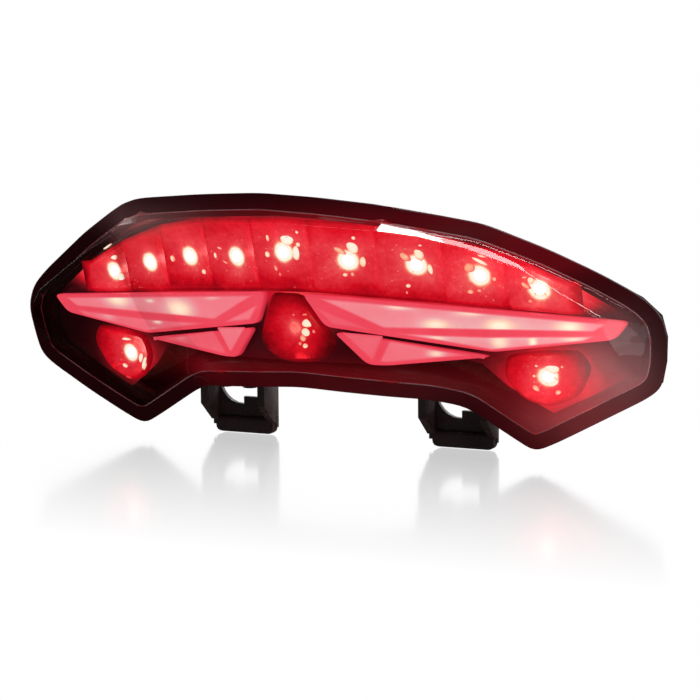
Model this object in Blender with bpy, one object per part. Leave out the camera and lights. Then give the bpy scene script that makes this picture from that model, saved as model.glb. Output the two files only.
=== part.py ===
"""LED tail light for a motorcycle, built as an assembly of separate parts.

Frame: X runs across the motorcycle and is the mirror axis, the lit face looks
toward -Y, and Z is up.  Shapes are written in millimetres from one datum, the
emitter of the top centre LED, and every part hangs from an empty placed there.
The mesh data itself is in metres.
"""

import math

import bmesh
import bpy
from mathutils import Matrix, Vector

MM = 0.001

# Datum: the top centre LED above the bracket feet and ahead of the part's middle.
DATUM_Y = -15.8
DATUM_Z = 68.3

# Right half of the rim, clockwise from the top centre as seen from the front.
RIM_RIGHT = [
    (0.0, -16.5, 19.9),
    (20.0, -16.8, 19.0),
    (42.5, -17.0, 17.2),
    (53.0, -8.5, 14.5),
    (65.5, 5.8, 10.5),
    (82.5, 17.2, 2.1),
    (96.2, 26.5, -5.9),
    (107.3, 32.5, -13.0),
    (113.4, 34.0, -18.8),
    (115.4, 34.0, -26.0),
    (114.6, 36.0, -34.4),
    (112.9, 37.0, -41.8),
    (109.0, 36.5, -45.4),
    (92.2, 35.2, -54.5),
    (78.0, 35.6, -62.1),
    (71.2, 35.6, -65.0),
    (65.0, 35.0, -61.5),
    (49.0, 32.5, -51.4),
    (40.0, 23.0, -48.2),
    (30.0, 14.5, -46.6),
    (15.0, 11.8, -45.6),
    (0.0, 10.6, -44.6),
]

# Crease between the roof facet and the front face, from the centre outward.
CREASE_RIGHT = [
    (0.0, -25.0, 11.0),
    (20.0, -24.0, 10.9),
    (39.0, -18.2, 9.6),
    (50.0, -11.4, 7.6),
    (62.0, -1.0, 3.2),
    (76.0, 7.5, -3.0),
    (88.0, 11.0, -10.5),
    (99.5, 15.5, -17.7),
]

# Crease between the front face and the lower facet of each wing.
WING_CREASE = [(71.0, 26.6, -44.6), (92.0, 30.2, -42.6)]

LENS_WALL = 2.2
LENS_SKIRT = 4.4
SKIRT_DRAFT = 1.2
RIM_WIDTH = 5.0
STEP_WIDTH = 0.8
RIM_CROWN = 0.8
STEP_HEIGHT = 1.2
FRONT_BULGE = 8.0
FRONT_ROWS = 4

SEAL_OUTER = 3.9
SEAL_INNER = 5.8
SEAL_FRONT = 3.4
SEAL_BACK = 4.4

LIP_FRONT = 4.7
LIP_BACK = 7.2
LIP_DRAFT = 2.6
BODY_INSET = 5.0
BODY_SHOULDER_INSET = 7.0
BODY_REAR_INSET = 9.0
BODY_SHOULDER_Y = 46.0
BODY_REAR_Y = 52.0
BODY_WALL = 2.2
BODY_WAIST = 0.32
BODY_DROP = 8.0
BODY_DROP_FROM = -22.0
BODY_DROP_SPAN = 35.0

# The LEDs sit on two boards that meet in a shallow V and lean back.
SWEEP = 0.30
LEAN = 0.33

TOP_LEDS = [(0.0, 0.0), (19.7, -2.6), (40.1, -3.9), (58.8, -7.2), (76.2, -11.5)]
CENTRE_LED = (0.0, -25.0)
LOWER_LED = (75.8, -40.5)
BLADE_LEDS = [(44.0, -22.0), (64.0, -23.2), (84.0, -24.2), (35.0, -31.6)]

LED_BASE = 4.2
LED_BASE_HEIGHT = 1.5
LED_DOME_RADIUS = 1.7
LED_BACK = 2.0

BOARD_FRONT = 2.3
BOARD_THICKNESS = 1.7
SIDE_BOARD = [
    (9.5, 6.0), (56.0, 1.8), (90.0, -14.8), (102.6, -24.5), (101.0, -36.8),
    (90.0, -44.0), (74.0, -51.0), (61.0, -45.5), (45.0, -37.0), (9.5, -34.0),
]
CENTRE_BOARD = [(-8.7, 6.0), (8.7, 6.0), (8.7, -34.0), (-8.7, -34.0)]
BOARD_HOLES = [(25.0, -31.0), (95.5, -30.0)]
HOLE_RADIUS = 1.8
BOARD_SCREW = 7.0
POST_RADIUS = 4.0

CELL_EDGES = [10.0, 30.0, 49.5, 67.5, 85.6]
CELL_TOPS = [9.2, 8.4, 4.8, -1.4, -10.2]
BLADE_TOP_INNER = (6.0, -12.8)
BLADE_TOP_SLOPE = -0.085
CUP_HOLE_RADIUS = 3.4
CUP_WALL = 0.9
CUP_FRONT = 7.5
CUP_REAR = 0.6
CELL_FOOT = 1.8
CENTRE_CUP_DEPTHS = (4.4, 1.9)
LOWER_CUP_DEPTHS = (6.0, 3.4)

SHIELD = [(4.8, -14.6), (9.6, -23.8), (12.0, -28.5), (11.0, -32.0), (6.0, -34.8)]
LOWER_CUP = [
    (66.0, -33.8), (86.0, -32.0), (89.0, -37.0), (84.5, -45.5), (76.0, -49.0),
    (69.5, -46.6), (65.0, -40.4),
]

UPPER_BLADE = [
    (6.4, -12.9), (60.0, -17.4), (103.4, -21.2), (98.6, -27.2), (62.0, -31.6), (11.9, -23.8),
]
UPPER_RIDGE = [(30.0, -24.6), (90.0, -25.4)]
LOWER_BLADE = [(14.2, -25.6), (58.5, -32.7), (60.5, -33.4), (29.0, -36.6), (23.2, -36.4)]
LOWER_RIDGE = [(25.0, -31.0), (45.0, -31.6)]
BLADE_FRONT = 7.0
BLADE_BACK = 3.4
BLADE_BORDER = 1.3
BLADE_CORNER = 2.2
BLADE_VALLEY = 1.2

BEZEL_FRONT = 2.9
BEZEL_BACK = 1.5
BEZEL_CLEARANCE = 0.8
UPPER_SLOT = [(38.0, -19.6), (92.0, -22.2), (90.0, -26.4), (38.0, -25.0)]
LOWER_SLOT = [(29.0, -29.6), (41.0, -31.2), (41.0, -34.2), (29.0, -34.0)]
BEZEL_RIGHT = [
    (0.0, 11.9), (40.0, 9.2), (51.0, 6.2), (63.0, 2.6), (84.0, -8.0), (102.8, -20.4),
    (106.0, -30.0), (104.0, -38.0), (90.0, -46.0), (77.0, -52.4), (64.0, -43.4), (57.0, -36.0),
    (45.0, -33.2), (30.0, -37.0), (15.0, -36.4), (0.0, -36.0),
]

BRACKET_X = 40.3
BRACKET_HALF = 12.1
BRACKET_TOP = -47.8
BRACKET_FOOT = -68.3
BRACKET_REAR = 52.6
BRACKET_FRONT = 41.5
BRACKET_SHEET = 1.8
BRACKET_GUSSET = 2.6
BRACKET_PAD_DEPTH = 8.5
LIP_LEFT = -10.2
LIP_RIGHT = 11.6
LIP_FRONT_Y = 49.0
LIP_HEIGHT = 5.6
LIP_CORNER = 2.2
LIP_ROLL = 2.0
GUSSET_KNEE = -57.6
GUSSET_TOE = -64.2
WINDOW_LEFT = -9.5
WINDOW_RIGHT = 9.0
WINDOW_FLOOR = -58.6
WINDOW_CORNER = 8.6
WINDOW_TAB_LEFT = -0.3
WINDOW_TAB_TOP = -56.0
BRACKET_SCREWS = [-4.6, 4.6]
BRACKET_SCREW_Y = 46.0

BRACKET_SCREW_HOLE = 2.1
BRACKET_SCREW_PILOT = 1.9
PAD_OVERHANG = 0.2
PAD_FRONT_GAP = 2.0
PAD_REAR_GAP = 0.4

INSERT_X = 62.0
INSERT_Z = -22.0
BOSS_RADIUS = 7.0
BOSS_DEPTH = 9.0
BOSS_PROUD = 1.5
INSERT_SEAT_RADIUS = 4.3
INSERT_SEAT_DEPTH = 7.0
INSERT_PROFILE = [(2.4, -6.4), (4.0, -6.4), (4.0, 1.2), (2.4, 1.2), (2.4, -4.0)]

GLAND_Z = -20.0
GLAND_HOLE_RADIUS = 5.3
GLAND_HOLE_DEPTH = 6.0
GLAND_PROFILE = [
    (5.0, -5.6), (5.0, 0.2), (7.0, 0.4), (7.0, 1.8), (4.6, 2.4), (4.2, 4.6), (2.6, 4.6), (2.6, -3.0),
]
VENT_X = 30.0
VENT_Z = -9.0
VENT_HOLE_RADIUS = 2.6
VENT_HOLE_DEPTH = 5.0
VENT_PROFILE = [(2.3, -4.6), (2.3, 0.3), (4.6, 0.3), (4.6, 1.4), (3.6, 2.2), (0.8, 2.2)]

# The socket body behind the centre board: half width, height span, depth behind the board.
CONNECTOR_HALF = 5.0
CONNECTOR_SPAN = (-24.0, -16.0)
CONNECTOR_DEPTH = (2.4, 10.0)
SOCKET_HALF = 3.8
SOCKET_SPAN = (-22.8, -17.2)
SOCKET_DEPTH = (5.0, 12.0)

# How far a cutting tool runs past the wall that it goes through.
OVERRUN = 3.0

ROUND = 20
SMALL_ROUND = 12


# ---------------------------------------------------------------- geometry helpers

def led_plane(x, z):
    """Depth of the LED plane at a place across and up the lamp."""
    return SWEEP * abs(x) - LEAN * z


def board_axis(side):
    """Unit direction from the lit face of a side board straight back through it."""
    return Vector((-SWEEP * side, 1.0, LEAN)).normalized()


def behind_board(side, x, z, distance):
    """The point a distance behind the LED plane, square to the board."""
    start = Vector((side * x, led_plane(x, z) + BOARD_FRONT, z))
    return start + board_axis(side) * distance


def mirrored(points):
    """The same points on the left side, in reverse order."""
    return [(-p[0],) + tuple(p[1:]) for p in reversed(points)]


def full_ring(right_half):
    """Close a right half that starts and ends on the centre plane."""
    return list(right_half) + mirrored(right_half[1:-1])


def inset_flat(points, distance):
    """Move a clockwise (x, z) outline inward by a distance, with mitred corners."""
    moved = []
    count = len(points)
    for i in range(count):
        before = Vector(points[i - 1])
        here = Vector(points[i])
        after = Vector(points[(i + 1) % count])
        first = (here - before).normalized()
        second = (after - here).normalized()
        inward_first = Vector((first.y, -first.x))
        inward_second = Vector((second.y, -second.x))
        shift = (inward_first + inward_second) / (1.0 + inward_first.dot(inward_second))
        moved.append(here + shift * distance)
    return moved


def rim_ring(inset, depth):
    """The rim outline moved inward across the face and back along Y."""
    ring = full_ring(RIM_RIGHT)
    flat = inset_flat([(p[0], p[2]) for p in ring], inset)
    return [Vector((q.x, p[1] + depth, q.y)) for p, q in zip(ring, flat)]


def level_ring(inset, y):
    """The rim outline moved inward, laid in one plane across Y and drawn down at the top."""
    ring = []
    for p in rim_ring(inset, 0.0):
        share = max(0.0, (p.z - BODY_DROP_FROM) / BODY_DROP_SPAN)
        ring.append(Vector((p.x, y, p.z - BODY_DROP * share)))
    return ring


def waist_ring(inset):
    """The rim outline moved inward, part of the way from the lip back to the shoulder."""
    ring = rim_ring(inset, LIP_BACK)
    return [Vector((p.x, p.y + BODY_WAIST * (BODY_SHOULDER_Y - p.y), p.z)) for p in ring]


def sheet_ring(points, depth):
    """An (x, z) outline laid a distance in front of the LED plane."""
    return [Vector((x, led_plane(x, z) - depth, z)) for x, z in points]


def refined(points, step):
    """Split the edges of a closed outline into lengths near the step."""
    fine = []
    count = len(points)
    for i in range(count):
        start = Vector(points[i])
        end = Vector(points[(i + 1) % count])
        pieces = max(1, round((end - start).length / step))
        fine += [tuple(start.lerp(end, k / pieces)) for k in range(pieces)]
    return fine


def rounded(points, radius, steps):
    """Round the corners of a closed (x, z) outline with short curves."""
    smooth = []
    count = len(points)
    for i in range(count):
        before = Vector(points[i - 1])
        here = Vector(points[i])
        after = Vector(points[(i + 1) % count])
        reach_in = min(radius, (before - here).length * 0.4)
        reach_out = min(radius, (after - here).length * 0.4)
        start = here + (before - here).normalized() * reach_in
        end = here + (after - here).normalized() * reach_out
        for k in range(steps + 1):
            t = k / steps
            smooth.append(tuple((1 - t) ** 2 * start + 2 * t * (1 - t) * here + t * t * end))
    return smooth


# ---------------------------------------------------------------- object helpers

def clear_scene():
    for item in list(bpy.data.objects):
        bpy.data.objects.remove(item, do_unlink=True)


def make_material(name, colour, roughness, metallic=0.0):
    material = bpy.data.materials.new(name)
    material.use_nodes = True
    shader = material.node_tree.nodes["Principled BSDF"]
    shader.inputs["Base Color"].default_value = (*colour, 1.0)
    shader.inputs["Roughness"].default_value = roughness
    shader.inputs["Metallic"].default_value = metallic
    return material


def make_object(name, mesh_builder, material, parent):
    """Turn a bmesh in millimetres into a named object in metres."""
    bmesh.ops.recalc_face_normals(mesh_builder, faces=mesh_builder.faces[:])
    if mesh_builder.calc_volume(signed=True) < 0.0:
        bmesh.ops.reverse_faces(mesh_builder, faces=mesh_builder.faces[:])
    bmesh.ops.scale(mesh_builder, vec=(MM, MM, MM), verts=mesh_builder.verts[:])
    mesh = bpy.data.meshes.new(name)
    mesh_builder.to_mesh(mesh)
    mesh_builder.free()
    thing = bpy.data.objects.new(name, mesh)
    bpy.context.scene.collection.objects.link(thing)
    thing.parent = parent
    if material is not None:
        mesh.materials.append(material)
    return thing


def set_material(thing, material):
    thing.data.materials.clear()
    thing.data.materials.append(material)


def smooth_by_angle(thing, degrees=35.0):
    thing.data.shade_smooth()
    thing.data.set_sharp_from_angle(angle=math.radians(degrees))


def boolean(thing, operation, tool):
    """Join or cut with another object, then drop that object."""
    triangles = bmesh.new()
    triangles.from_mesh(thing.data)
    bmesh.ops.triangulate(triangles, faces=triangles.faces[:])
    triangles.to_mesh(thing.data)
    triangles.free()
    modifier = thing.modifiers.new(operation.lower(), "BOOLEAN")
    modifier.operation = operation
    modifier.solver = "EXACT"
    modifier.object = tool
    graph = bpy.context.evaluated_depsgraph_get()
    graph.update()
    result = bpy.data.meshes.new_from_object(thing.evaluated_get(graph))
    thing.modifiers.clear()
    thing.data = result
    bpy.data.objects.remove(tool, do_unlink=True)


def join_on(thing, mesh_builder):
    """Fuse another body onto an object."""
    boolean(thing, "UNION", make_object("joined", mesh_builder, None, thing.parent))


def cut_away(thing, mesh_builder):
    """Cut another body out of an object."""
    boolean(thing, "DIFFERENCE", make_object("cutter", mesh_builder, None, thing.parent))


def add_ring(builder, ring):
    return [builder.verts.new(p) for p in ring]


def bridge(builder, first, second):
    count = len(first)
    for i in range(count):
        j = (i + 1) % count
        builder.faces.new((first[i], first[j], second[j], second[i]))


def ring_solid(rings, closed_loop=False):
    """A body through a stack of rings with the same number of points."""
    builder = bmesh.new()
    loops = [add_ring(builder, ring) for ring in rings]
    for first, second in zip(loops, loops[1:]):
        bridge(builder, first, second)
    if closed_loop:
        bridge(builder, loops[-1], loops[0])
    else:
        builder.faces.new(loops[0])
        builder.faces.new(loops[-1])
    return builder


def block(low, high):
    builder = bmesh.new()
    bmesh.ops.create_cube(builder, size=1.0)
    size = Vector(high) - Vector(low)
    bmesh.ops.scale(builder, vec=size, verts=builder.verts[:])
    bmesh.ops.translate(builder, vec=(Vector(low) + Vector(high)) / 2, verts=builder.verts[:])
    return builder


def rod(start, end, radius, segments=ROUND):
    """A cylinder from one point to another."""
    builder = bmesh.new()
    axis = Vector(end) - Vector(start)
    turn = axis.to_track_quat("Z", "Y").to_matrix().to_4x4()
    place = Matrix.Translation((Vector(start) + Vector(end)) / 2) @ turn
    bmesh.ops.create_cone(builder, cap_ends=True, segments=segments, radius1=radius,
                          radius2=radius, depth=axis.length, matrix=place)
    return builder


def turned(profile, segments=ROUND):
    """A body turned round local Z from (radius, height) points, with flat ends."""
    rings = []
    for radius, height in profile:
        ring = []
        for k in range(segments):
            angle = 2 * math.pi * k / segments
            ring.append(Vector((radius * math.cos(angle), radius * math.sin(angle), height)))
        rings.append(ring)
    return ring_solid(rings)


# ---------------------------------------------------------------- lens, seal and housing

def front_row(crease, foot, share):
    """A point between the crease and the foot of the front face, bulged forward."""
    point = Vector(crease).lerp(Vector(foot), share)
    point.y -= FRONT_BULGE * 4.0 * share * (1.0 - share)
    return point


def side_vertex(builder, shared, place, side):
    """A vertex on one side; the two sides share those on the centre plane."""
    spot = (place[0] * side, place[1], place[2])
    key = tuple(round(c, 4) for c in spot)
    if key not in shared:
        shared[key] = builder.verts.new(spot)
    return shared[key]


def add_roof(builder, edge, crease):
    for i in range(7):
        builder.faces.new((edge[i], edge[i + 1], crease[i + 1], crease[i]))
    builder.faces.new((edge[7], edge[8], crease[7]))
    builder.faces.new((edge[8], crease[8], crease[7]))


def add_front(builder, shared, crease, feet, side):
    """The bulged front face, in columns from the crease to the foot."""
    columns = []
    for upper, foot in zip(crease, feet):
        column = [upper]
        if upper is not crease[8]:
            start = (abs(upper.co.x), upper.co.y, upper.co.z)
            end = (abs(foot.co.x), foot.co.y, foot.co.z)
            for k in range(1, FRONT_ROWS):
                place = front_row(start, end, k / FRONT_ROWS)
                column.append(side_vertex(builder, shared, place, side))
        columns.append(column + [foot])
    for left, right in zip(columns, columns[1:]):
        last = len(left) - 2
        for k in range(last + 1):
            if len(right) == len(left):
                builder.faces.new((left[k], right[k], right[k + 1], left[k + 1]))
            elif k < last:
                builder.faces.new((left[k], right[0], left[k + 1]))
            else:
                builder.faces.new((left[k], right[0], right[1], left[k + 1]))


def add_wing(builder, edge, lower_crease):
    inner, outer = lower_crease
    builder.faces.new((edge[17], inner, edge[15], edge[16]))
    builder.faces.new((inner, edge[14], edge[15]))
    builder.faces.new((inner, outer, edge[13], edge[14]))
    builder.faces.new((outer, edge[11], edge[12], edge[13]))


def build_lens(material, parent):
    """Skirt, rim flange, step and raised window, given one wall thickness."""
    builder = bmesh.new()
    skirt = add_ring(builder, rim_ring(SKIRT_DRAFT, LENS_SKIRT))
    rim = add_ring(builder, rim_ring(0.0, 0.0))
    seam = add_ring(builder, rim_ring(RIM_WIDTH, -RIM_CROWN))
    window = add_ring(builder, rim_ring(RIM_WIDTH + STEP_WIDTH, -RIM_CROWN - STEP_HEIGHT))
    bridge(builder, skirt, rim)
    bridge(builder, rim, seam)
    bridge(builder, seam, window)
    count = len(window)
    half = len(RIM_RIGHT)
    shared = {}
    for side in (1, -1):
        edge = [window[i if side > 0 else (count - i) % count] for i in range(half)]
        crease = [side_vertex(builder, shared, p, side) for p in CREASE_RIGHT] + [edge[9]]
        lower_crease = [side_vertex(builder, shared, p, side) for p in WING_CREASE]
        feet = [edge[half - k] for k in range(1, 6)] + lower_crease + [edge[11], edge[10]]
        add_roof(builder, edge, crease)
        add_front(builder, shared, crease, feet, side)
        add_wing(builder, edge, lower_crease)
    lens = make_object("outer_lens", builder, material, parent)
    thicken(lens, LENS_WALL, -1.0)
    smooth_by_angle(lens, 20.0)
    return lens


def build_seal(material, parent):
    rings = [
        rim_ring(SEAL_OUTER, SEAL_FRONT),
        rim_ring(SEAL_OUTER, SEAL_BACK),
        rim_ring(SEAL_INNER, SEAL_BACK),
        rim_ring(SEAL_INNER, SEAL_FRONT),
    ]
    return make_object("lens_seal", ring_solid(rings, closed_loop=True), material, parent)


def bracket_pad(side):
    x = side * BRACKET_X
    half = BRACKET_HALF + PAD_OVERHANG
    bottom = BRACKET_TOP + 0.3
    return block((x - half, BRACKET_FRONT - PAD_FRONT_GAP, bottom),
                 (x + half, BODY_REAR_Y - PAD_REAR_GAP, bottom + BRACKET_PAD_DEPTH))


def rear_rod(x, z, depth, proud, radius):
    """A cylinder along Y that runs into the rear wall and stands out of it."""
    return rod((x, BODY_REAR_Y - depth, z), (x, BODY_REAR_Y + proud, z), radius)


def board_post(side, x, z):
    """A post from the rear wall to the back of a side board, square to the board."""
    reach = BOARD_THICKNESS + 0.3
    start = behind_board(side, x, z, reach)
    length = (BODY_REAR_Y - 1.2 - start.y) / board_axis(side).y
    return rod(start, behind_board(side, x, z, reach + length), POST_RADIUS, SMALL_ROUND)


def housing_shell():
    """The open bowl: flange for the lens, outer wall, rear wall and cavity."""
    outer_rings = [
        rim_ring(BODY_INSET + BODY_WALL, LIP_FRONT),
        rim_ring(SKIRT_DRAFT, LIP_FRONT),
        rim_ring(LIP_DRAFT, LIP_BACK),
        rim_ring(BODY_INSET, LIP_BACK + 0.2),
        waist_ring(BODY_INSET + 0.4),
        level_ring(BODY_SHOULDER_INSET, BODY_SHOULDER_Y),
        level_ring(BODY_REAR_INSET, BODY_REAR_Y),
    ]
    cavity_rings = [
        level_ring(BODY_REAR_INSET + BODY_WALL, BODY_REAR_Y - BODY_WALL),
        level_ring(BODY_SHOULDER_INSET + BODY_WALL, BODY_SHOULDER_Y - BODY_WALL * 0.6),
        waist_ring(BODY_INSET + 0.4 + BODY_WALL),
    ]
    builder = bmesh.new()
    outside = [add_ring(builder, ring) for ring in outer_rings]
    inside = [add_ring(builder, ring) for ring in cavity_rings]
    for first, second in zip(outside, outside[1:]):
        bridge(builder, first, second)
    builder.faces.new(outside[-1])
    builder.faces.new(inside[0])
    for first, second in zip(inside, inside[1:]):
        bridge(builder, first, second)
    bridge(builder, inside[-1], outside[0])
    return builder


def build_housing(material, parent):
    """Bowl with a lip for the lens, bracket pads, board posts and rear bosses."""
    housing = make_object("rear_housing", housing_shell(), material, parent)
    for side in (1, -1):
        join_on(housing, bracket_pad(side))
    for side in (1, -1):
        for x, z in BOARD_HOLES:
            join_on(housing, board_post(side, x, z))
        join_on(housing, rear_rod(side * INSERT_X, INSERT_Z, BOSS_DEPTH, BOSS_PROUD, BOSS_RADIUS))
    for side in (1, -1):
        for x, z in BOARD_HOLES:
            start = behind_board(side, x, z, 0.0)
            end = behind_board(side, x, z, BOARD_SCREW + 0.8)
            cut_away(housing, rod(start, end, HOLE_RADIUS - 0.2, SMALL_ROUND))
        cut_away(housing, rear_rod(side * INSERT_X, INSERT_Z, INSERT_SEAT_DEPTH, OVERRUN,
                                   INSERT_SEAT_RADIUS))
        for offset in BRACKET_SCREWS:
            x = side * BRACKET_X + offset
            start = (x, BRACKET_SCREW_Y, BRACKET_TOP - 1.0)
            end = (x, BRACKET_SCREW_Y, BRACKET_TOP + 5.6)
            cut_away(housing, rod(start, end, BRACKET_SCREW_PILOT, SMALL_ROUND))
        if side > 0:
            cut_away(housing, rear_rod(VENT_X, VENT_Z, VENT_HOLE_DEPTH, OVERRUN, VENT_HOLE_RADIUS))
    cut_away(housing, rear_rod(0.0, GLAND_Z, GLAND_HOLE_DEPTH, OVERRUN, GLAND_HOLE_RADIUS))
    set_material(housing, material)
    smooth_by_angle(housing, 30.0)
    return housing


# ---------------------------------------------------------------- reflectors and bezel

def cup_surface(builder, outline, centre, front_depth):
    """A bowl from an outline at the front to a round hole at the LED."""
    hole = []
    for x, z in outline:
        angle = math.atan2(z - centre[1], x - centre[0])
        hole.append((centre[0] + CUP_HOLE_RADIUS * math.cos(angle),
                     centre[1] + CUP_HOLE_RADIUS * math.sin(angle)))
    loops = []
    for share in (1.0, 0.62, 0.0):
        ring = []
        for (x, z), (hx, hz), depth in zip(outline, hole, front_depth):
            px = hx + (x - hx) * share
            pz = hz + (z - hz) * share
            rise = CUP_REAR + (depth - CUP_REAR) * share ** 1.7
            ring.append(Vector((px, led_plane(px, pz) - rise, pz)))
        loops.append(add_ring(builder, ring))
    for first, second in zip(loops, loops[1:]):
        bridge(builder, first, second)


def thicken(thing, thickness, offset):
    wall = thing.modifiers.new("wall", "SOLIDIFY")
    wall.thickness = thickness * MM
    wall.offset = offset
    wall.use_even_offset = True


def blade_top(x):
    """Height of the blades' top edge at a place across the lamp."""
    inner_x, inner_z = BLADE_TOP_INNER
    return inner_z + BLADE_TOP_SLOPE * (max(abs(x), inner_x) - inner_x)


def cell_outline(index):
    """Front outline of one cup of the top row, counted outward from the centre."""
    outer = CELL_EDGES[index]
    if index == 0:
        corners = [(-outer, CELL_TOPS[0]), (0.0, CELL_TOPS[0] + 0.6), (outer, CELL_TOPS[0]),
                   (outer, blade_top(outer) + CELL_FOOT), (0.0, blade_top(0.0) + CELL_FOOT),
                   (-outer, blade_top(outer) + CELL_FOOT)]
    else:
        inner = CELL_EDGES[index - 1]
        corners = [(inner, CELL_TOPS[index - 1]), (outer, CELL_TOPS[index]),
                   (outer, blade_top(outer) + CELL_FOOT), (inner, blade_top(inner) + CELL_FOOT)]
    fine = []
    for i, corner in enumerate(corners):
        start = Vector(corner)
        end = Vector(corners[(i + 1) % len(corners)])
        upright = abs(start.x - end.x) < 0.1
        pieces = 4 if upright or index > 0 else 2
        fine += [tuple(start.lerp(end, k / pieces)) for k in range(pieces)]
    return fine


def build_upper_reflector(material, parent):
    builder = bmesh.new()
    for index, centre in enumerate(TOP_LEDS):
        outline = cell_outline(index)
        depths = [CUP_FRONT] * len(outline)
        cup_surface(builder, outline, centre, depths)
        if index > 0:
            left = [(-x, z) for x, z in reversed(outline)]
            cup_surface(builder, left, (-centre[0], centre[1]), depths)
    bmesh.ops.remove_doubles(builder, verts=builder.verts[:], dist=0.01)
    thing = make_object("upper_reflector", builder, material, parent)
    face_front(thing)
    thicken(thing, CUP_WALL, -1.0)
    return thing


def face_front(thing):
    """Point an open sheet's faces at the front, so that its wall grows backward."""
    builder = bmesh.new()
    builder.from_mesh(thing.data)
    bmesh.ops.recalc_face_normals(builder, faces=builder.faces[:])
    total = sum((face.normal * face.calc_area() for face in builder.faces), Vector())
    if total.y > 0:
        bmesh.ops.reverse_faces(builder, faces=builder.faces[:])
    builder.to_mesh(thing.data)
    builder.free()


def build_cup(name, outline, centre, depths_top_bottom, material, parent):
    """A single bowl whose front edge leans from its top depth to its bottom depth."""
    depth_top, depth_bottom = depths_top_bottom
    fine = refined(rounded(outline, 2.5, 2), 3.2)
    highest = max(z for _, z in fine)
    lowest = min(z for _, z in fine)
    depths = []
    for _, z in fine:
        share = (z - lowest) / (highest - lowest)
        depths.append(depth_bottom + (depth_top - depth_bottom) * share)
    builder = bmesh.new()
    cup_surface(builder, fine, centre, depths)
    thing = make_object(name, builder, material, parent)
    face_front(thing)
    thicken(thing, CUP_WALL, -1.0)
    return thing


def bezel_openings():
    """Outlines cut through the bezel for the cups and the LEDs behind the blades."""
    row = [(x, top + 1.0) for x, top in zip(CELL_EDGES, CELL_TOPS)]
    row[-1] = (CELL_EDGES[-1] + 1.0, CELL_TOPS[-1] + 0.2)
    foot = [(CELL_EDGES[-1] + 1.0, blade_top(CELL_EDGES[-1]) + 0.6),
            (CELL_EDGES[0], blade_top(CELL_EDGES[0]) + 0.6)]
    right = [(0.0, CELL_TOPS[0] + 1.6)] + row + foot + [(0.0, blade_top(0.0) + 0.6)]
    openings = [full_ring(right), inset_flat(SHIELD + mirrored(SHIELD), -BEZEL_CLEARANCE)]
    for side in (1, -1):
        for shape in (inset_flat(LOWER_CUP, -BEZEL_CLEARANCE), UPPER_SLOT, LOWER_SLOT):
            points = [(side * p[0], p[1]) for p in shape]
            openings.append(points if side > 0 else points[::-1])
    return openings


def build_bezel(material, parent):
    """Dark mask behind the blades, with openings for the cups and the blade LEDs."""
    outline = refined(full_ring(BEZEL_RIGHT), 9.0)
    rings = [sheet_ring(outline, BEZEL_FRONT), sheet_ring(outline, BEZEL_BACK)]
    bezel = make_object("inner_bezel", ring_solid(rings), None, parent)
    builder = bmesh.new()
    builder.from_mesh(bezel.data)
    bmesh.ops.bisect_plane(builder, geom=builder.verts[:] + builder.edges[:] + builder.faces[:],
                           plane_co=(0, 0, 0), plane_no=(1, 0, 0))
    bmesh.ops.triangulate(builder, faces=builder.faces[:])
    builder.to_mesh(bezel.data)
    builder.free()
    for shape in bezel_openings():
        front = [Vector((p[0], -60.0, p[1])) for p in shape]
        back = [Vector((p[0], 90.0, p[1])) for p in shape]
        cut_away(bezel, ring_solid([front, back]))
    set_material(bezel, material)
    return bezel


# ---------------------------------------------------------------- blades

def build_blade(name, side, outline, ridge, material, parent):
    """Clear light guide with a bevelled border and a valley along its face."""
    corners = rounded(outline, BLADE_CORNER, 2)
    border = rounded(inset_flat(outline, BLADE_BORDER), BLADE_CORNER - BLADE_BORDER, 2)
    builder = bmesh.new()
    back = add_ring(builder, sheet_ring(corners, BLADE_BACK))
    front = add_ring(builder, sheet_ring(corners, BLADE_FRONT - 1.0))
    face = add_ring(builder, sheet_ring([tuple(p) for p in border], BLADE_FRONT))
    bridge(builder, back, front)
    bridge(builder, front, face)
    builder.faces.new(back)
    ends = add_ring(builder, sheet_ring(ridge, BLADE_FRONT - BLADE_VALLEY))
    count = len(face)
    nearest = []
    for vertex in face:
        nearest.append(0 if (vertex.co - ends[0].co).length < (vertex.co - ends[1].co).length else 1)
    for i in range(count):
        j = (i + 1) % count
        if nearest[i] == nearest[j]:
            builder.faces.new((face[i], face[j], ends[nearest[i]]))
        else:
            builder.faces.new((face[i], face[j], ends[nearest[j]]))
            builder.faces.new((face[i], ends[nearest[j]], ends[nearest[i]]))
    if side < 0:
        bmesh.ops.scale(builder, vec=(-1.0, 1.0, 1.0), verts=builder.verts[:])
    return make_object(name, builder, material, parent)


# ---------------------------------------------------------------- boards and LEDs

def build_board(name, outline, side, holes, material, parent):
    """A board on the LED plane; the centre board, which has no holes, isn't swept."""
    rings = [sheet_ring(outline, -BOARD_FRONT), sheet_ring(outline, -BOARD_FRONT - BOARD_THICKNESS)]
    if not holes:
        rings = [[Vector((p.x, p.y - led_plane(p.x, 0.0), p.z)) for p in ring] for ring in rings]
    builder = ring_solid(rings)
    if side < 0:
        bmesh.ops.scale(builder, vec=(-1.0, 1.0, 1.0), verts=builder.verts[:])
    board = make_object(name, builder, material, parent)
    for x, z in holes:
        start, end = behind_board(side, x, z, -4.0), behind_board(side, x, z, 6.0)
        cut_away(board, rod(start, end, HOLE_RADIUS, SMALL_ROUND))
    return board


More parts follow.
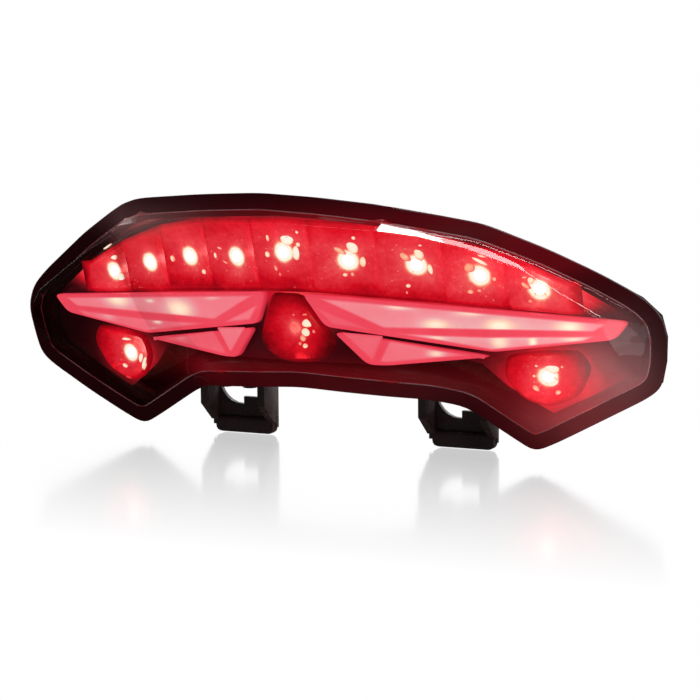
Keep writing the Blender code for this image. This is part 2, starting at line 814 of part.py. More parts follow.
def led_mesh(material):
    """Square package with a domed top, standing on local Z."""
    half = LED_BASE / 2
    builder = block((-half, -half, -LED_BACK), (half, half, -LED_BACK + LED_BASE_HEIGHT))
    base = bpy.data.meshes.new("led")
    dome = [(LED_DOME_RADIUS, -LED_BACK + LED_BASE_HEIGHT - 0.4)]
    for k in range(4):
        angle = math.radians(22.5 * k)
        dome.append((LED_DOME_RADIUS * math.cos(angle),
                     -LED_BACK + LED_BASE_HEIGHT + 0.7 + LED_DOME_RADIUS * math.sin(angle)))
    builder.to_mesh(base)
    builder.free()
    package = bpy.data.objects.new("package", base)
    bpy.context.scene.collection.objects.link(package)
    top = turned(dome, 10)
    bmesh.ops.recalc_face_normals(top, faces=top.faces[:])
    cap_mesh = bpy.data.meshes.new("dome")
    top.to_mesh(cap_mesh)
    top.free()
    cap = bpy.data.objects.new("dome", cap_mesh)
    bpy.context.scene.collection.objects.link(cap)
    boolean(package, "UNION", cap)
    mesh = package.data
    bpy.data.objects.remove(package, do_unlink=True)
    mesh.transform(Matrix.Scale(MM, 4))
    mesh.materials.clear()
    mesh.materials.append(material)
    return mesh


def place_led(name, mesh, x, z, parent):
    thing = bpy.data.objects.new(name, mesh)
    bpy.context.scene.collection.objects.link(thing)
    thing.parent = parent
    side = 0 if abs(x) < 1.0 else math.copysign(1.0, x)
    normal = Vector((SWEEP * side, -1.0, -LEAN)).normalized()
    thing.rotation_mode = "QUATERNION"
    thing.rotation_quaternion = normal.to_track_quat("Z", "X")
    thing.location = Vector((x, led_plane(x, z), z)) * MM


# ---------------------------------------------------------------- brackets and fasteners

def quarter_arc(steps):
    """Sines and cosines of a quarter turn in equal steps."""
    angles = [math.radians(90.0 * k / steps) for k in range(steps + 1)]
    return [(math.sin(angle), math.cos(angle)) for angle in angles]


def lip_section():
    """Side view of the rolled foot lip, with a rounded front top edge."""
    section = [(BRACKET_REAR - 0.5, BRACKET_FOOT), (LIP_FRONT_Y + 0.6, BRACKET_FOOT),
               (LIP_FRONT_Y, BRACKET_FOOT + 0.6)]
    for sine, cosine in quarter_arc(4):
        section.append((LIP_FRONT_Y + LIP_ROLL - LIP_ROLL * cosine,
                        BRACKET_FOOT + LIP_HEIGHT - LIP_ROLL + LIP_ROLL * sine))
    section.append((BRACKET_REAR - 0.5, BRACKET_FOOT + LIP_HEIGHT))
    return section


def lip_trim(edge, inward):
    """The corner cut off one lower end of the lip, seen from the front."""
    outside = edge - OVERRUN * inward
    corner = [(outside, BRACKET_FOOT + LIP_CORNER)]
    for sine, cosine in quarter_arc(4):
        corner.append((edge + inward * LIP_CORNER * (1.0 - cosine),
                       BRACKET_FOOT + LIP_CORNER * (1.0 - sine)))
    corner += [(edge + inward * LIP_CORNER, BRACKET_FOOT - 2.0), (outside, BRACKET_FOOT - 2.0)]
    return corner


def window_outline():
    """The opening in the web: a rounded corner at the left, a square tab at the right."""
    top = BRACKET_TOP - BRACKET_SHEET - 0.3
    window = [(WINDOW_LEFT, top), (WINDOW_RIGHT, top), (WINDOW_RIGHT, WINDOW_TAB_TOP),
              (WINDOW_TAB_LEFT, WINDOW_TAB_TOP), (WINDOW_TAB_LEFT, WINDOW_FLOOR)]
    for sine, cosine in quarter_arc(6)[1:]:
        window.append((WINDOW_LEFT + WINDOW_CORNER * (1.0 - sine),
                       WINDOW_FLOOR + WINDOW_CORNER * (1.0 - cosine)))
    return window


def prism_along_x(outline, start, end):
    return ring_solid([[Vector((x, y, z)) for y, z in outline] for x in (start, end)])


def prism_along_y(outline, start, end):
    return ring_solid([[Vector((x, y, z)) for x, z in outline] for y in (start, end)])


def bracket_mesh(material, parent):
    """Pressed steel bracket: top flange, web with a window, two gussets, rolled lip."""
    low, high = -BRACKET_HALF, BRACKET_HALF
    web_front = BRACKET_REAR - BRACKET_SHEET
    web = block((low, web_front, BRACKET_FOOT), (high, BRACKET_REAR, BRACKET_TOP))
    bracket = make_object("bracket", web, None, parent)
    join_on(bracket, block((low, BRACKET_FRONT, BRACKET_TOP - BRACKET_SHEET),
                           (high, BRACKET_REAR - 0.5, BRACKET_TOP)))
    side_view = [
        (BRACKET_FRONT, BRACKET_TOP - 0.5), (BRACKET_FRONT, GUSSET_KNEE),
        (LIP_FRONT_Y + 0.4, GUSSET_TOE), (BRACKET_REAR - 0.5, GUSSET_TOE),
        (BRACKET_REAR - 0.5, BRACKET_TOP - 0.5),
    ]
    for start in (low, high - BRACKET_GUSSET):
        join_on(bracket, prism_along_x(side_view, start, start + BRACKET_GUSSET))
    join_on(bracket, prism_along_x(lip_section(), LIP_LEFT, LIP_RIGHT))
    for edge, inward in ((LIP_LEFT, 1.0), (LIP_RIGHT, -1.0)):
        cut_away(bracket, prism_along_y(lip_trim(edge, inward), LIP_FRONT_Y - 2.0, BRACKET_REAR + 2.0))
    cut_away(bracket, prism_along_y(window_outline(), web_front - OVERRUN, BRACKET_REAR + OVERRUN))
    for offset in BRACKET_SCREWS:
        start = (offset, BRACKET_SCREW_Y, BRACKET_TOP - 4.0)
        end = (offset, BRACKET_SCREW_Y, BRACKET_TOP + 2.0)
        cut_away(bracket, rod(start, end, BRACKET_SCREW_HOLE, SMALL_ROUND))
    set_material(bracket, material)
    smooth_by_angle(bracket, 30.0)
    mesh = bracket.data
    bpy.data.objects.remove(bracket, do_unlink=True)
    return mesh


def place_mesh(name, mesh, location, parent):
    thing = bpy.data.objects.new(name, mesh)
    bpy.context.scene.collection.objects.link(thing)
    thing.parent = parent
    thing.location = Vector(location) * MM


def screw_mesh(name, head_radius, head_height, shank_radius, length, material):
    """Pan-head screw along local Z, its shank pointing down from the origin."""
    profile = [(0.6, -length), (shank_radius, -length + 0.8), (shank_radius, 0.0), (head_radius, 0.0),
               (head_radius, head_height * 0.55), (head_radius * 0.72, head_height),
               (head_radius * 0.3, head_height), (head_radius * 0.3, head_height * 0.35)]
    builder = turned(profile, 10)
    bmesh.ops.recalc_face_normals(builder, faces=builder.faces[:])
    bmesh.ops.scale(builder, vec=(MM, MM, MM), verts=builder.verts[:])
    mesh = bpy.data.meshes.new(name)
    builder.to_mesh(mesh)
    builder.free()
    mesh.materials.append(material)
    return mesh


def place_screw(name, mesh, head, direction, parent):
    thing = bpy.data.objects.new(name, mesh)
    bpy.context.scene.collection.objects.link(thing)
    thing.parent = parent
    thing.rotation_mode = "QUATERNION"
    thing.rotation_quaternion = Vector(direction).to_track_quat("Z", "X")
    thing.location = Vector(head) * MM


def place_turned(name, profile, location, material, parent):
    """A turned piece set in the rear wall, its axis pointing straight back."""
    thing = make_object(name, turned(profile), material, parent)
    thing.rotation_mode = "QUATERNION"
    thing.rotation_quaternion = Vector((0, 1, 0)).to_track_quat("Z", "X")
    thing.location = Vector(location) * MM
    smooth_by_angle(thing, 40.0)


def build_connector(material, parent):
    """Socket body behind the centre board, open to the rear."""
    board_back = led_plane(0.0, GLAND_Z) + BOARD_FRONT + BOARD_THICKNESS
    near, far = (board_back + depth for depth in CONNECTOR_DEPTH)
    floor, mouth = (board_back + depth for depth in SOCKET_DEPTH)
    body = block((-CONNECTOR_HALF, near, CONNECTOR_SPAN[0]), (CONNECTOR_HALF, far, CONNECTOR_SPAN[1]))
    connector = make_object("board_connector", body, None, parent)
    cut_away(connector, block((-SOCKET_HALF, floor, SOCKET_SPAN[0]), (SOCKET_HALF, mouth, SOCKET_SPAN[1])))
    set_material(connector, material)


# ---------------------------------------------------------------- assembly

def main():
    clear_scene()
    datum = bpy.data.objects.new("tail_light_datum", None)
    bpy.context.scene.collection.objects.link(datum)
    datum.location = (0.0, DATUM_Y * MM, DATUM_Z * MM)

    lens_red = make_material("smoked_lens", (0.16, 0.01, 0.02), 0.05)
    black = make_material("housing_black", (0.012, 0.01, 0.011), 0.45)
    seal_black = make_material("seal_rubber", (0.02, 0.02, 0.02), 0.8)
    chrome_red = make_material("reflector_chrome", (0.75, 0.70, 0.70), 0.12, 1.0)
    dark_trim = make_material("bezel_black", (0.03, 0.012, 0.014), 0.3)
    blade_red = make_material("blade_acrylic", (0.85, 0.20, 0.26), 0.15)
    board_green = make_material("board_laminate", (0.01, 0.05, 0.03), 0.5)
    led_cream = make_material("led_epoxy", (1.0, 0.85, 0.75), 0.2)
    steel_black = make_material("bracket_steel", (0.02, 0.012, 0.012), 0.35, 0.4)
    zinc = make_material("screw_zinc", (0.55, 0.55, 0.56), 0.3, 1.0)
    brass = make_material("insert_brass", (0.72, 0.52, 0.22), 0.3, 1.0)
    white = make_material("connector_nylon", (0.75, 0.74, 0.70), 0.5)

    build_lens(lens_red, datum)
    build_seal(seal_black, datum)
    build_housing(black, datum)
    build_upper_reflector(chrome_red, datum)
    shield = SHIELD + mirrored(SHIELD)
    build_cup("centre_reflector", shield, CENTRE_LED, CENTRE_CUP_DEPTHS, chrome_red, datum)
    for side, word in ((1, "right"), (-1, "left")):
        outline = [(side * x, z) for x, z in LOWER_CUP]
        centre = (side * LOWER_LED[0], LOWER_LED[1])
        build_cup(word + "_lower_reflector", outline if side > 0 else outline[::-1], centre,
                  LOWER_CUP_DEPTHS, chrome_red, datum)
    build_bezel(dark_trim, datum)
    for side, word in ((1, "right"), (-1, "left")):
        build_blade(word + "_upper_blade", side, UPPER_BLADE, UPPER_RIDGE, blade_red, datum)
        build_blade(word + "_lower_blade", side, LOWER_BLADE, LOWER_RIDGE, blade_red, datum)

    build_board("centre_circuit_board", CENTRE_BOARD, 1, [], board_green, datum)
    build_board("right_circuit_board", SIDE_BOARD, 1, BOARD_HOLES, board_green, datum)
    build_board("left_circuit_board", SIDE_BOARD, -1, BOARD_HOLES, board_green, datum)

    led = led_mesh(led_cream)
    row = [(-x, z) for x, z in TOP_LEDS[:0:-1]] + TOP_LEDS
    for number, (x, z) in enumerate(row, start=1):
        place_led(f"top_led_{number}", led, x, z, datum)
    place_led("centre_led", led, *CENTRE_LED, datum)
    for side, word in ((1, "right"), (-1, "left")):
        place_led(word + "_lower_led", led, side * LOWER_LED[0], LOWER_LED[1], datum)
        for number, (x, z) in enumerate(BLADE_LEDS, start=1):
            place_led(f"{word}_blade_led_{number}", led, side * x, z, datum)

    board_screw = screw_mesh("board_screw", 3.0, 1.6, 1.3, BOARD_SCREW, zinc)
    bracket_screw = screw_mesh("bracket_screw", 3.4, 2.0, 1.6, 7.2, zinc)
    bracket = bracket_mesh(steel_black, datum)
    for side, word in ((1, "right"), (-1, "left")):
        place_mesh(word + "_bracket", bracket, (side * BRACKET_X, 0.0, 0.0), datum)
        for number, offset in enumerate(BRACKET_SCREWS, start=1):
            head = (side * BRACKET_X + offset, BRACKET_SCREW_Y, BRACKET_TOP - BRACKET_SHEET - 0.3)
            place_screw(f"{word}_bracket_screw_{number}", bracket_screw, head, (0, 0, -1), datum)
        for number, (x, z) in enumerate(BOARD_HOLES, start=1):
            seat = behind_board(side, x, z, -0.3)
            place_screw(f"{word}_board_screw_{number}", board_screw, seat, -board_axis(side), datum)
        place_turned(word + "_threaded_insert", INSERT_PROFILE, (side * INSERT_X, BODY_REAR_Y, INSERT_Z),
                     brass, datum)

    place_turned("wire_grommet", GLAND_PROFILE, (0.0, BODY_REAR_Y, GLAND_Z), seal_black, datum)
    place_turned("breather_vent", VENT_PROFILE, (VENT_X, BODY_REAR_Y, VENT_Z), seal_black, datum)
    build_connector(white, datum)


main()
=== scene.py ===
"""Looks of a motorcycle tail light: a smoked red lens over lit cups and faceted blades."""

import math

import bmesh
import bpy
from mathutils import Matrix, Vector, kdtree


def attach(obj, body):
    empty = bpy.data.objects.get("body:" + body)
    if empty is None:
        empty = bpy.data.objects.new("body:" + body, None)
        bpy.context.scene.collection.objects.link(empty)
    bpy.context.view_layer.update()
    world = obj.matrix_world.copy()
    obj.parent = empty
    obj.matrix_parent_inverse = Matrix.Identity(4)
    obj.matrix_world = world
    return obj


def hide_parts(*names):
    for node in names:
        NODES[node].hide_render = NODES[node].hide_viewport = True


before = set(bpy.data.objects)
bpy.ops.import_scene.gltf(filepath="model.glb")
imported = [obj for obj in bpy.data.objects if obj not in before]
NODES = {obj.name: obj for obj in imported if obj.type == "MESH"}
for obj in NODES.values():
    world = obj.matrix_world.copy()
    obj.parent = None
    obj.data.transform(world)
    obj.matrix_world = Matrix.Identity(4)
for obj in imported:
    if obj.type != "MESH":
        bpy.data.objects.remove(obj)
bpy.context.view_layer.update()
MM = 0.001

# Lamp measures are in millimetres from the top centre LED: x across, y back, z up.
DATUM = Vector((0.0, -15.8, 68.3))

RIM_RIGHT = [
    (0.0, -16.5, 19.9), (20.0, -16.8, 19.0), (42.5, -17.0, 17.2), (53.0, -8.5, 14.5),
    (65.5, 5.8, 10.5), (82.5, 17.2, 2.1), (96.2, 26.5, -5.9), (107.3, 32.5, -13.0),
    (113.4, 34.0, -18.8), (115.4, 34.0, -26.0), (114.6, 36.0, -34.4), (112.9, 37.0, -41.8),
    (109.0, 36.5, -45.4), (92.2, 35.2, -54.5), (78.0, 35.6, -62.1), (71.2, 35.6, -65.0),
    (65.0, 35.0, -61.5), (49.0, 32.5, -51.4), (40.0, 23.0, -48.2), (30.0, 14.5, -46.6),
    (15.0, 11.8, -45.6), (0.0, 10.6, -44.6),
]
CREASE_RIGHT = [
    (0.0, -25.0, 11.0), (20.0, -24.0, 10.9), (40.8, -21.5, 9.6), (51.6, -14.6, 7.8),
    (62.0, -1.0, 3.2), (76.0, 7.5, -3.0), (88.0, 11.0, -10.5), (99.5, 15.5, -17.7),
]
WING_CREASE = [(71.0, 26.6, -44.6), (92.0, 30.2, -42.6)]
RIM_WIDTH = 5.0
STEP_WIDTH = 0.8
RIM_CROWN = 0.8
STEP_HEIGHT = 1.2
FRONT_BULGE = 8.0
FRONT_ROWS = 10
CREASE_ROUND = 0.55
CORNER_ROUND = 5.0

# Depths are measured forward from the LED plane.
ROW_DEPTH = 3.9
CUP_DEPTH = 5.0
CUP_REAR = 0.6
LED_HOLE = 1.75
BEZEL_FACE = 3.0
FLANGE_SIDE = 4.0
FLANGE_TOP = 1.5
FLANGE_FOOT = 1.6

# Gap between the row's foot and the blades' top edge.
CELL_FOOT = 1.8

SWEEP = 0.30
LEAN = 0.33
TOP_LEDS = [(0.0, 0.0), (19.7, -2.6), (40.1, -3.9), (58.8, -7.2), (76.2, -11.5)]
CENTRE_LED = (0.0, -25.0)
LOWER_LED = (75.8, -40.5)
CELL_EDGES = [10.0, 30.0, 49.5, 67.5, 85.6]
CELL_TOPS = [9.2, 8.4, 4.8, -1.4, -10.2]

# What the smoked lens lets through, channel by channel.
TINT = (0.80, 0.42, 0.44)
LENS_IOR = 1.30

# Red light that spills on the bezel: across, up, half width, half height, share.
BEZEL_SPILL = [
    (87.0, -9.0, 7.0, 8.0, 1.0), (-88.0, -9.0, 6.0, 7.0, 1.1), (74.0, -2.0, 14.0, 5.0, 0.8),
    (0.0, 10.5, 60.0, 2.5, 0.5), (4.0, -19.0, 12.0, 10.0, 0.8), (77.5, -40.0, 17.0, 14.0, 1.0),
    (-73.0, -41.0, 14.0, 10.0, 0.9), (50.0, -14.5, 45.0, 4.0, 0.95), (-50.0, -14.5, 40.0, 4.0, 0.8),
    (20.0, -42.0, 55.0, 9.0, 0.16), (-42.0, -40.0, 12.0, 5.0, 0.14),
]

# Painted light on the lens: wine red glow of the lit parts and pale reflections of the softboxes, in the
# same order.
PAINTED_WINE_GLOW = [
    (42.0, 12.0, 50.0, 5.5, 0.75), (80.0, 1.0, 18.0, 8.0, 1.5), (10.0, -42.0, 50.0, 8.0, 0.5),
    (88.0, -54.0, 24.0, 15.0, 1.1), (-36.0, -42.0, 12.0, 6.0, 0.4), (100.0, -12.0, 12.0, 10.0, 0.2),
]
PAINTED_PALE_REFLECTIONS = [
    (100.0, -38.0, 13.0, 16.0, 1.0), (86.0, -56.0, 16.0, 9.0, 0.4), (60.0, 7.5, 14.0, 3.0, 0.10),
    (-50.0, 10.0, 26.0, 6.0, 0.55), (30.0, -46.0, 30.0, 5.0, 0.06),
]

# The floor's half width in metres, and its squares each way.
FLOOR_REACH = 6.0
FLOOR_ROWS = 12

# How much of the floor's light is a mirror image, and where that fades out, in metres.
MIRROR = 0.42
MIRROR_FRONT = (-0.13, 0.02)
MIRROR_BACK = (0.06, 0.14)
MIRROR_ASIDE = (0.16, 0.30)

# The bar light above the lamp: place, size and power.
STRIP_PLACE = (0.144, 0.29, 0.867)
STRIP_SIZE = (0.50, 0.42)
STRIP_POWER = 34.0

# Each softbox: name, azimuth, elevation, distance, size, power.
SOFTBOXES = [
    ("top_softbox", 0.0, 75.0, 1.2, (0.9, 0.7), 5.0),
    ("right_softbox", 128.0, 53.0, 1.1, (0.5, 0.4), 9.0),
    ("edge_softbox", 118.0, 4.0, 1.1, (0.22, 0.6), 0.6),
    ("low_softbox", 60.0, 24.0, 1.2, (0.5, 0.3), 3.0),
]

# Brightness of the studio from the front left (0) to the back right (1), and from below to above.
SKY = [(0.0, 0.02), (0.42, 0.05), (0.55, 0.28), (0.66, 1.0), (1.0, 1.1)]
SKY_HEIGHT = [(0.0, 0.03), (0.46, 0.03), (0.5, 1.0), (0.64, 1.0), (0.78, 0.2), (0.9, 0.12), (1.0, 0.12)]


# ---------------------------------------------------------------- geometry helpers

def world_point(point):
    return (Vector(point) + DATUM) * MM


def led_plane(x, z):
    return SWEEP * abs(x) - LEAN * z


def sheet_point(x, z, depth):
    """A point a distance in front of the LED plane."""
    return Vector((x, led_plane(x, z) - depth, z))


def mirrored(points):
    return [(-p[0],) + tuple(p[1:]) for p in reversed(points)]


def full_ring(right_half):
    return list(right_half) + mirrored(right_half[1:-1])


def inset_flat(points, distance):
    """Move a clockwise (x, z) outline inward, with mitred corners."""
    moved = []
    count = len(points)
    for i in range(count):
        before, here, after = Vector(points[i - 1]), Vector(points[i]), Vector(points[(i + 1) % count])
        first, second = (here - before).normalized(), (after - here).normalized()
        inward_first, inward_second = Vector((first.y, -first.x)), Vector((second.y, -second.x))
        shift = (inward_first + inward_second) / (1.0 + inward_first.dot(inward_second))
        moved.append(here + shift * distance)
    return moved


def rim_ring(inset, depth):
    ring = full_ring(RIM_RIGHT)
    flat = inset_flat([(p[0], p[2]) for p in ring], inset)
    return [Vector((q.x, p[1] + depth, q.y)) for p, q in zip(ring, flat)]


def rounded(points, radius, steps):
    """Round each corner of a closed outline, in two or three dimensions."""
    smooth = []
    count = len(points)
    for i in range(count):
        before, here, after = Vector(points[i - 1]), Vector(points[i]), Vector(points[(i + 1) % count])
        start = here + (before - here).normalized() * min(radius, (before - here).length * 0.45)
        end = here + (after - here).normalized() * min(radius, (after - here).length * 0.45)
        for k in range(steps + 1):
            t = k / steps
            smooth.append((1 - t) ** 2 * start + 2 * t * (1 - t) * here + t * t * end)
    return smooth


def refined(points, step):
    fine = []
    count = len(points)
    for i in range(count):
        start, end = Vector(points[i]), Vector(points[(i + 1) % count])
        pieces = max(1, round((end - start).length / step))
        fine += [start.lerp(end, k / pieces) for k in range(pieces)]
    return fine


def refined_alike(rings, step):
    """Split the edges of several matching outlines into the same numbers of pieces."""
    fine = [[] for _ in rings]
    count = len(rings[0])
    for i in range(count):
        lead = (Vector(rings[0][(i + 1) % count]) - Vector(rings[0][i])).length
        pieces = max(1, round(lead / step))
        for made, points in zip(fine, rings):
            start, end = Vector(points[i]), Vector(points[(i + 1) % count])
            made += [start.lerp(end, k / pieces) for k in range(pieces)]
    return fine


# ---------------------------------------------------------------- object helpers

def finish_piece(name, builder, material, replaces=(), smooth=30.0):
    """Turn a bmesh in lamp millimetres into a piece that rides on the lamp."""
    bmesh.ops.recalc_face_normals(builder, faces=builder.faces[:])
    for vertex in builder.verts:
        vertex.co = world_point(vertex.co)
    mesh = bpy.data.meshes.new(name)
    builder.to_mesh(mesh)
    builder.free()
    piece = bpy.data.objects.new(name, mesh)
    bpy.context.scene.collection.objects.link(piece)
    mesh.materials.append(material)
    mesh.shade_smooth()
    mesh.set_sharp_from_angle(angle=math.radians(smooth))
    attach(piece, "root")
    if replaces:
        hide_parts(*replaces)
    return piece


def add_bevel(piece, width, segments, angle):
    bevel = piece.modifiers.new("edges", "BEVEL")
    bevel.width = width * MM
    bevel.segments = segments
    bevel.limit_method = "ANGLE"
    bevel.angle_limit = math.radians(angle)
    bevel.harden_normals = True


def softened_copy(node, material, width, segments=2):
    """A copy of a CAD node with its edges rounded, standing in for it."""
    mesh = NODES[node].data.copy()
    builder = bmesh.new()
    builder.from_mesh(mesh)
    bmesh.ops.remove_doubles(builder, verts=builder.verts[:], dist=0.00001)
    bmesh.ops.dissolve_limit(builder, angle_limit=math.radians(0.6), verts=builder.verts[:],
                             edges=builder.edges[:])
    builder.to_mesh(mesh)
    builder.free()
    mesh.name = node + "_soft"
    piece = bpy.data.objects.new(node + "_soft", mesh)
    bpy.context.scene.collection.objects.link(piece)
    mesh.materials.clear()
    mesh.materials.append(material)
    mesh.shade_smooth()
    add_bevel(piece, width, segments, 30.0)
    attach(piece, "root")
    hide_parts(node)


def paint(node, material):
    mesh = NODES[node].data
    mesh.materials.clear()
    mesh.materials.append(material)


def bridge(builder, first, second):
    count = len(first)
    for i in range(count):
        j = (i + 1) % count
        builder.faces.new((first[i], first[j], second[j], second[i]))


def bridge_all(builder, loops):
    for first, second in zip(loops, loops[1:]):
        bridge(builder, first, second)


# ---------------------------------------------------------------- material helpers

class Shader:
    """Short hand for building a node material."""

    def __init__(self, name):
        self.material = bpy.data.materials.new(name)
        self.material.use_nodes = True
        self.tree = self.material.node_tree
        self.tree.nodes.clear()
        self.output = self.add("ShaderNodeOutputMaterial")

    def add(self, kind):
        return self.tree.nodes.new(kind)

    def put(self, socket, value):
        if isinstance(value, bpy.types.NodeSocket):
            self.tree.links.new(value, socket)
        else:
            socket.default_value = value

    def object_space(self):
        return self.add("ShaderNodeTexCoord").outputs["Object"]

    def noise(self, scale, detail, roughness=0.55):
        texture = self.add("ShaderNodeTexNoise")
        self.put(texture.inputs["Vector"], self.object_space())
        texture.inputs["Scale"].default_value = scale
        texture.inputs["Detail"].default_value = detail
        texture.inputs["Roughness"].default_value = roughness
        return texture.outputs["Fac"]

    def cells(self, scale, output="Distance"):
        texture = self.add("ShaderNodeTexVoronoi")
        self.put(texture.inputs["Vector"], self.object_space())
        texture.inputs["Scale"].default_value = scale
        return texture.outputs[output]

    def ramp(self, value, stops):
        made = self.add("ShaderNodeValToRGB")
        self.put(made.inputs["Fac"], value)
        band = made.color_ramp
        while len(band.elements) < len(stops):
            band.elements.new(0.5)
        for element, (place, colour) in zip(band.elements, stops):
            element.position = place
            element.color = (*colour, 1.0)
        return made.outputs["Color"]

    def span(self, value, low, high, out_low=0.0, out_high=1.0):
        made = self.add("ShaderNodeMapRange")
        self.put(made.inputs["Value"], value)
        limits = {"From Min": low, "From Max": high, "To Min": out_low, "To Max": out_high}
        for key, number in limits.items():
            made.inputs[key].default_value = number
        return made.outputs["Result"]

    def math(self, operation, first, second):
        made = self.add("ShaderNodeMath")
        made.operation = operation
        self.put(made.inputs[0], first)
        self.put(made.inputs[1], second)
        return made.outputs[0]

    def blend(self, factor, first, second, mode="MIX"):
        made = self.add("ShaderNodeMix")
        made.data_type = "RGBA"
        made.blend_type = mode
        self.put(made.inputs["Factor"], factor)
        self.put(made.inputs[6], first)
        self.put(made.inputs[7], second)
        return made.outputs[2]

    def attribute(self, name):
        made = self.add("ShaderNodeAttribute")
        made.attribute_name = name
        return made.outputs["Fac"]

    def spots(self, places):
        """Sum of soft spots laid over the front of the lamp."""
        axes = self.add("ShaderNodeSeparateXYZ")
        self.put(axes.inputs[0], self.object_space())
        total = 0.0
        for x, z, wide, tall, power in places:
            middle = world_point((x, 0.0, z))
            across = self.math("SUBTRACT", axes.outputs["X"], middle.x)
            across = self.math("DIVIDE", across, wide * MM)
            up = self.math("SUBTRACT", axes.outputs["Z"], middle.z)
            up = self.math("DIVIDE", up, tall * MM)
            across = self.math("MULTIPLY", across, across)
            up = self.math("MULTIPLY", up, up)
            squares = self.math("ADD", across, up)
            spot = self.math("POWER", 2.718, self.math("MULTIPLY", squares, -1.0))
            total = self.math("ADD", self.math("MULTIPLY", spot, power), total)
        return total

    def haze_and_painted_glow(self, gain):
        """Colour of the painted wine red glow and the painted pale reflections on smoked plastic."""
        uneven = self.span(self.noise(60.0, 4.0), 0.25, 0.75, 0.8, 1.1)
        layers = []
        for places, colour in ((PAINTED_WINE_GLOW, (132, 14, 24)), (PAINTED_PALE_REFLECTIONS, (128, 92, 92))):
            level = self.math("MULTIPLY", self.spots(places), uneven)
            full = tuple(gain * c for c in shown(*colour))
            layers.append(self.ramp(level, [(0.0, (0.0, 0.0, 0.0)), (1.0, full)]))
        return self.blend(1.0, layers[0], layers[1], "ADD")

    def bump(self, height, strength, distance):
        made = self.add("ShaderNodeBump")
        made.inputs["Strength"].default_value = strength
        made.inputs["Distance"].default_value = distance * MM
        self.put(made.inputs["Height"], height)
        return made.outputs["Normal"]

    def principled(self, **values):
        made = self.add("ShaderNodeBsdfPrincipled")
        for key, value in values.items():
            if isinstance(value, tuple) and len(value) == 3:
                value = (*value, 1.0)
            self.put(made.inputs[key.replace("_", " ")], value)
        return made

    def close(self, shader):
        self.tree.links.new(shader, self.output.inputs["Surface"])
        return self.material


def shown(red, green, blue):
    """Linear light of a colour given as it shows on a screen, 0 to 255."""
    linear = []
    for level in (red, green, blue):
        share = level / 255.0
        linear.append(share / 12.92 if share <= 0.04045 else ((share + 0.055) / 1.055) ** 2.4)
    return tuple(linear)


def lit(red, green, blue, power):
    """The glow that shows as this colour once it has passed the smoked lens."""
    return tuple(power * level / tint for level, tint in zip(shown(red, green, blue), TINT))


# ---------------------------------------------------------------- materials

def smoked_lens():
    s = Shader("smoked_lens_clear")
    haze_and_painted_glow = s.noise(38.0, 4.0)
    tint = s.ramp(haze_and_painted_glow, [(0.3, (TINT[0] * 0.96, TINT[1] * 0.92, TINT[2] * 0.92)), (0.7, TINT)])
    clear = s.add("ShaderNodeBsdfTransparent")
    s.put(clear.inputs["Color"], tint)
    ripple = s.bump(s.noise(70.0, 2.0), 0.03, 0.3)
    gloss = s.add("ShaderNodeBsdfGlossy")
    gloss.inputs["Roughness"].default_value = 0.03
    gloss.inputs["Color"].default_value = (1.0, 0.90, 0.90, 1.0)
    s.put(gloss.inputs["Normal"], ripple)
    fresnel = s.add("ShaderNodeFresnel")
    fresnel.inputs["IOR"].default_value = LENS_IOR
    mix = s.add("ShaderNodeMixShader")
    s.put(mix.inputs[0], fresnel.outputs[0])
    s.put(mix.inputs[1], clear.outputs[0])
    s.put(mix.inputs[2], gloss.outputs[0])
    # Painted glow and painted reflections, laid on the lens as emission.
    inner = s.add("ShaderNodeEmission")
    s.put(inner.inputs["Color"], s.haze_and_painted_glow(1.0))
    total = s.add("ShaderNodeAddShader")
    s.put(total.inputs[0], mix.outputs[0])
    s.put(total.inputs[1], inner.outputs[0])
    return s.close(total.outputs[0])


def rim_plastic():
    """Thick smoked border, nearly black, with a little of the lamp's red light and the softboxes'
    reflections painted on it as emission.
    """
    s = Shader("rim_smoked_black")
    base = s.ramp(s.noise(30.0, 5.0), [(0.3, (0.008, 0.0010, 0.0016)), (0.75, (0.016, 0.0022, 0.0034))])
    wear = s.span(s.noise(420.0, 3.0), 0.3, 0.8, 0.05, 0.12)
    body = s.principled(Base_Color=base, Roughness=wear, IOR=1.32,
                        Normal=s.bump(s.noise(160.0, 3.0), 0.03, 0.2))
    # Painted glow and painted reflections on the rim, over a faint painted dark wine glow everywhere.
    painted_rim_glow = s.blend(1.0, s.haze_and_painted_glow(0.36), (0.0042, 0.0005, 0.0008, 1.0), "ADD")
    s.put(body.inputs["Emission Color"], painted_rim_glow)
    body.inputs["Emission Strength"].default_value = 1.0
    return s.close(body.outputs[0])


def gloss_black(name, colour, lighter, roughness, ior=1.36):
    s = Shader(name)
    cloud = s.noise(30.0, 5.0)
    base = s.ramp(cloud, [(0.3, colour), (0.75, lighter)])
    wear = s.ramp(s.noise(420.0, 3.0), [(0.35, (roughness,) * 3), (0.8, (roughness * 2.2,) * 3)])
    body = s.principled(Base_Color=base, Roughness=wear, IOR=ior,
                        Normal=s.bump(s.noise(160.0, 3.0), 0.03, 0.2))
    return s.close(body.outputs[0])


def bezel_gloss():
    """Black carrier with the red light that spills on it beside each lit part."""
    s = Shader("bezel_gloss")
    base = s.ramp(s.noise(30.0, 5.0), [(0.3, (0.010, 0.002, 0.003)), (0.75, (0.022, 0.005, 0.007))])
    body = s.principled(Base_Color=base, Roughness=0.16, IOR=1.3,
                        Normal=s.bump(s.noise(160.0, 3.0), 0.03, 0.2))
    total = s.spots(BEZEL_SPILL)
    uneven = s.math("MULTIPLY", total, s.span(s.noise(90.0, 4.0), 0.25, 0.75, 0.7, 1.2))
    colour = s.ramp(uneven, [
        (0.0, lit(14, 3, 5, 0.5)), (0.15, lit(48, 7, 11, 0.5)), (0.4, lit(120, 20, 26, 0.5)),
        (0.7, lit(214, 22, 40, 0.5)), (1.0, lit(246, 60, 70, 0.5)),
    ])
    s.put(body.inputs["Emission Color"], colour)
    body.inputs["Emission Strength"].default_value = 2.0
    return s.close(body.outputs[0])


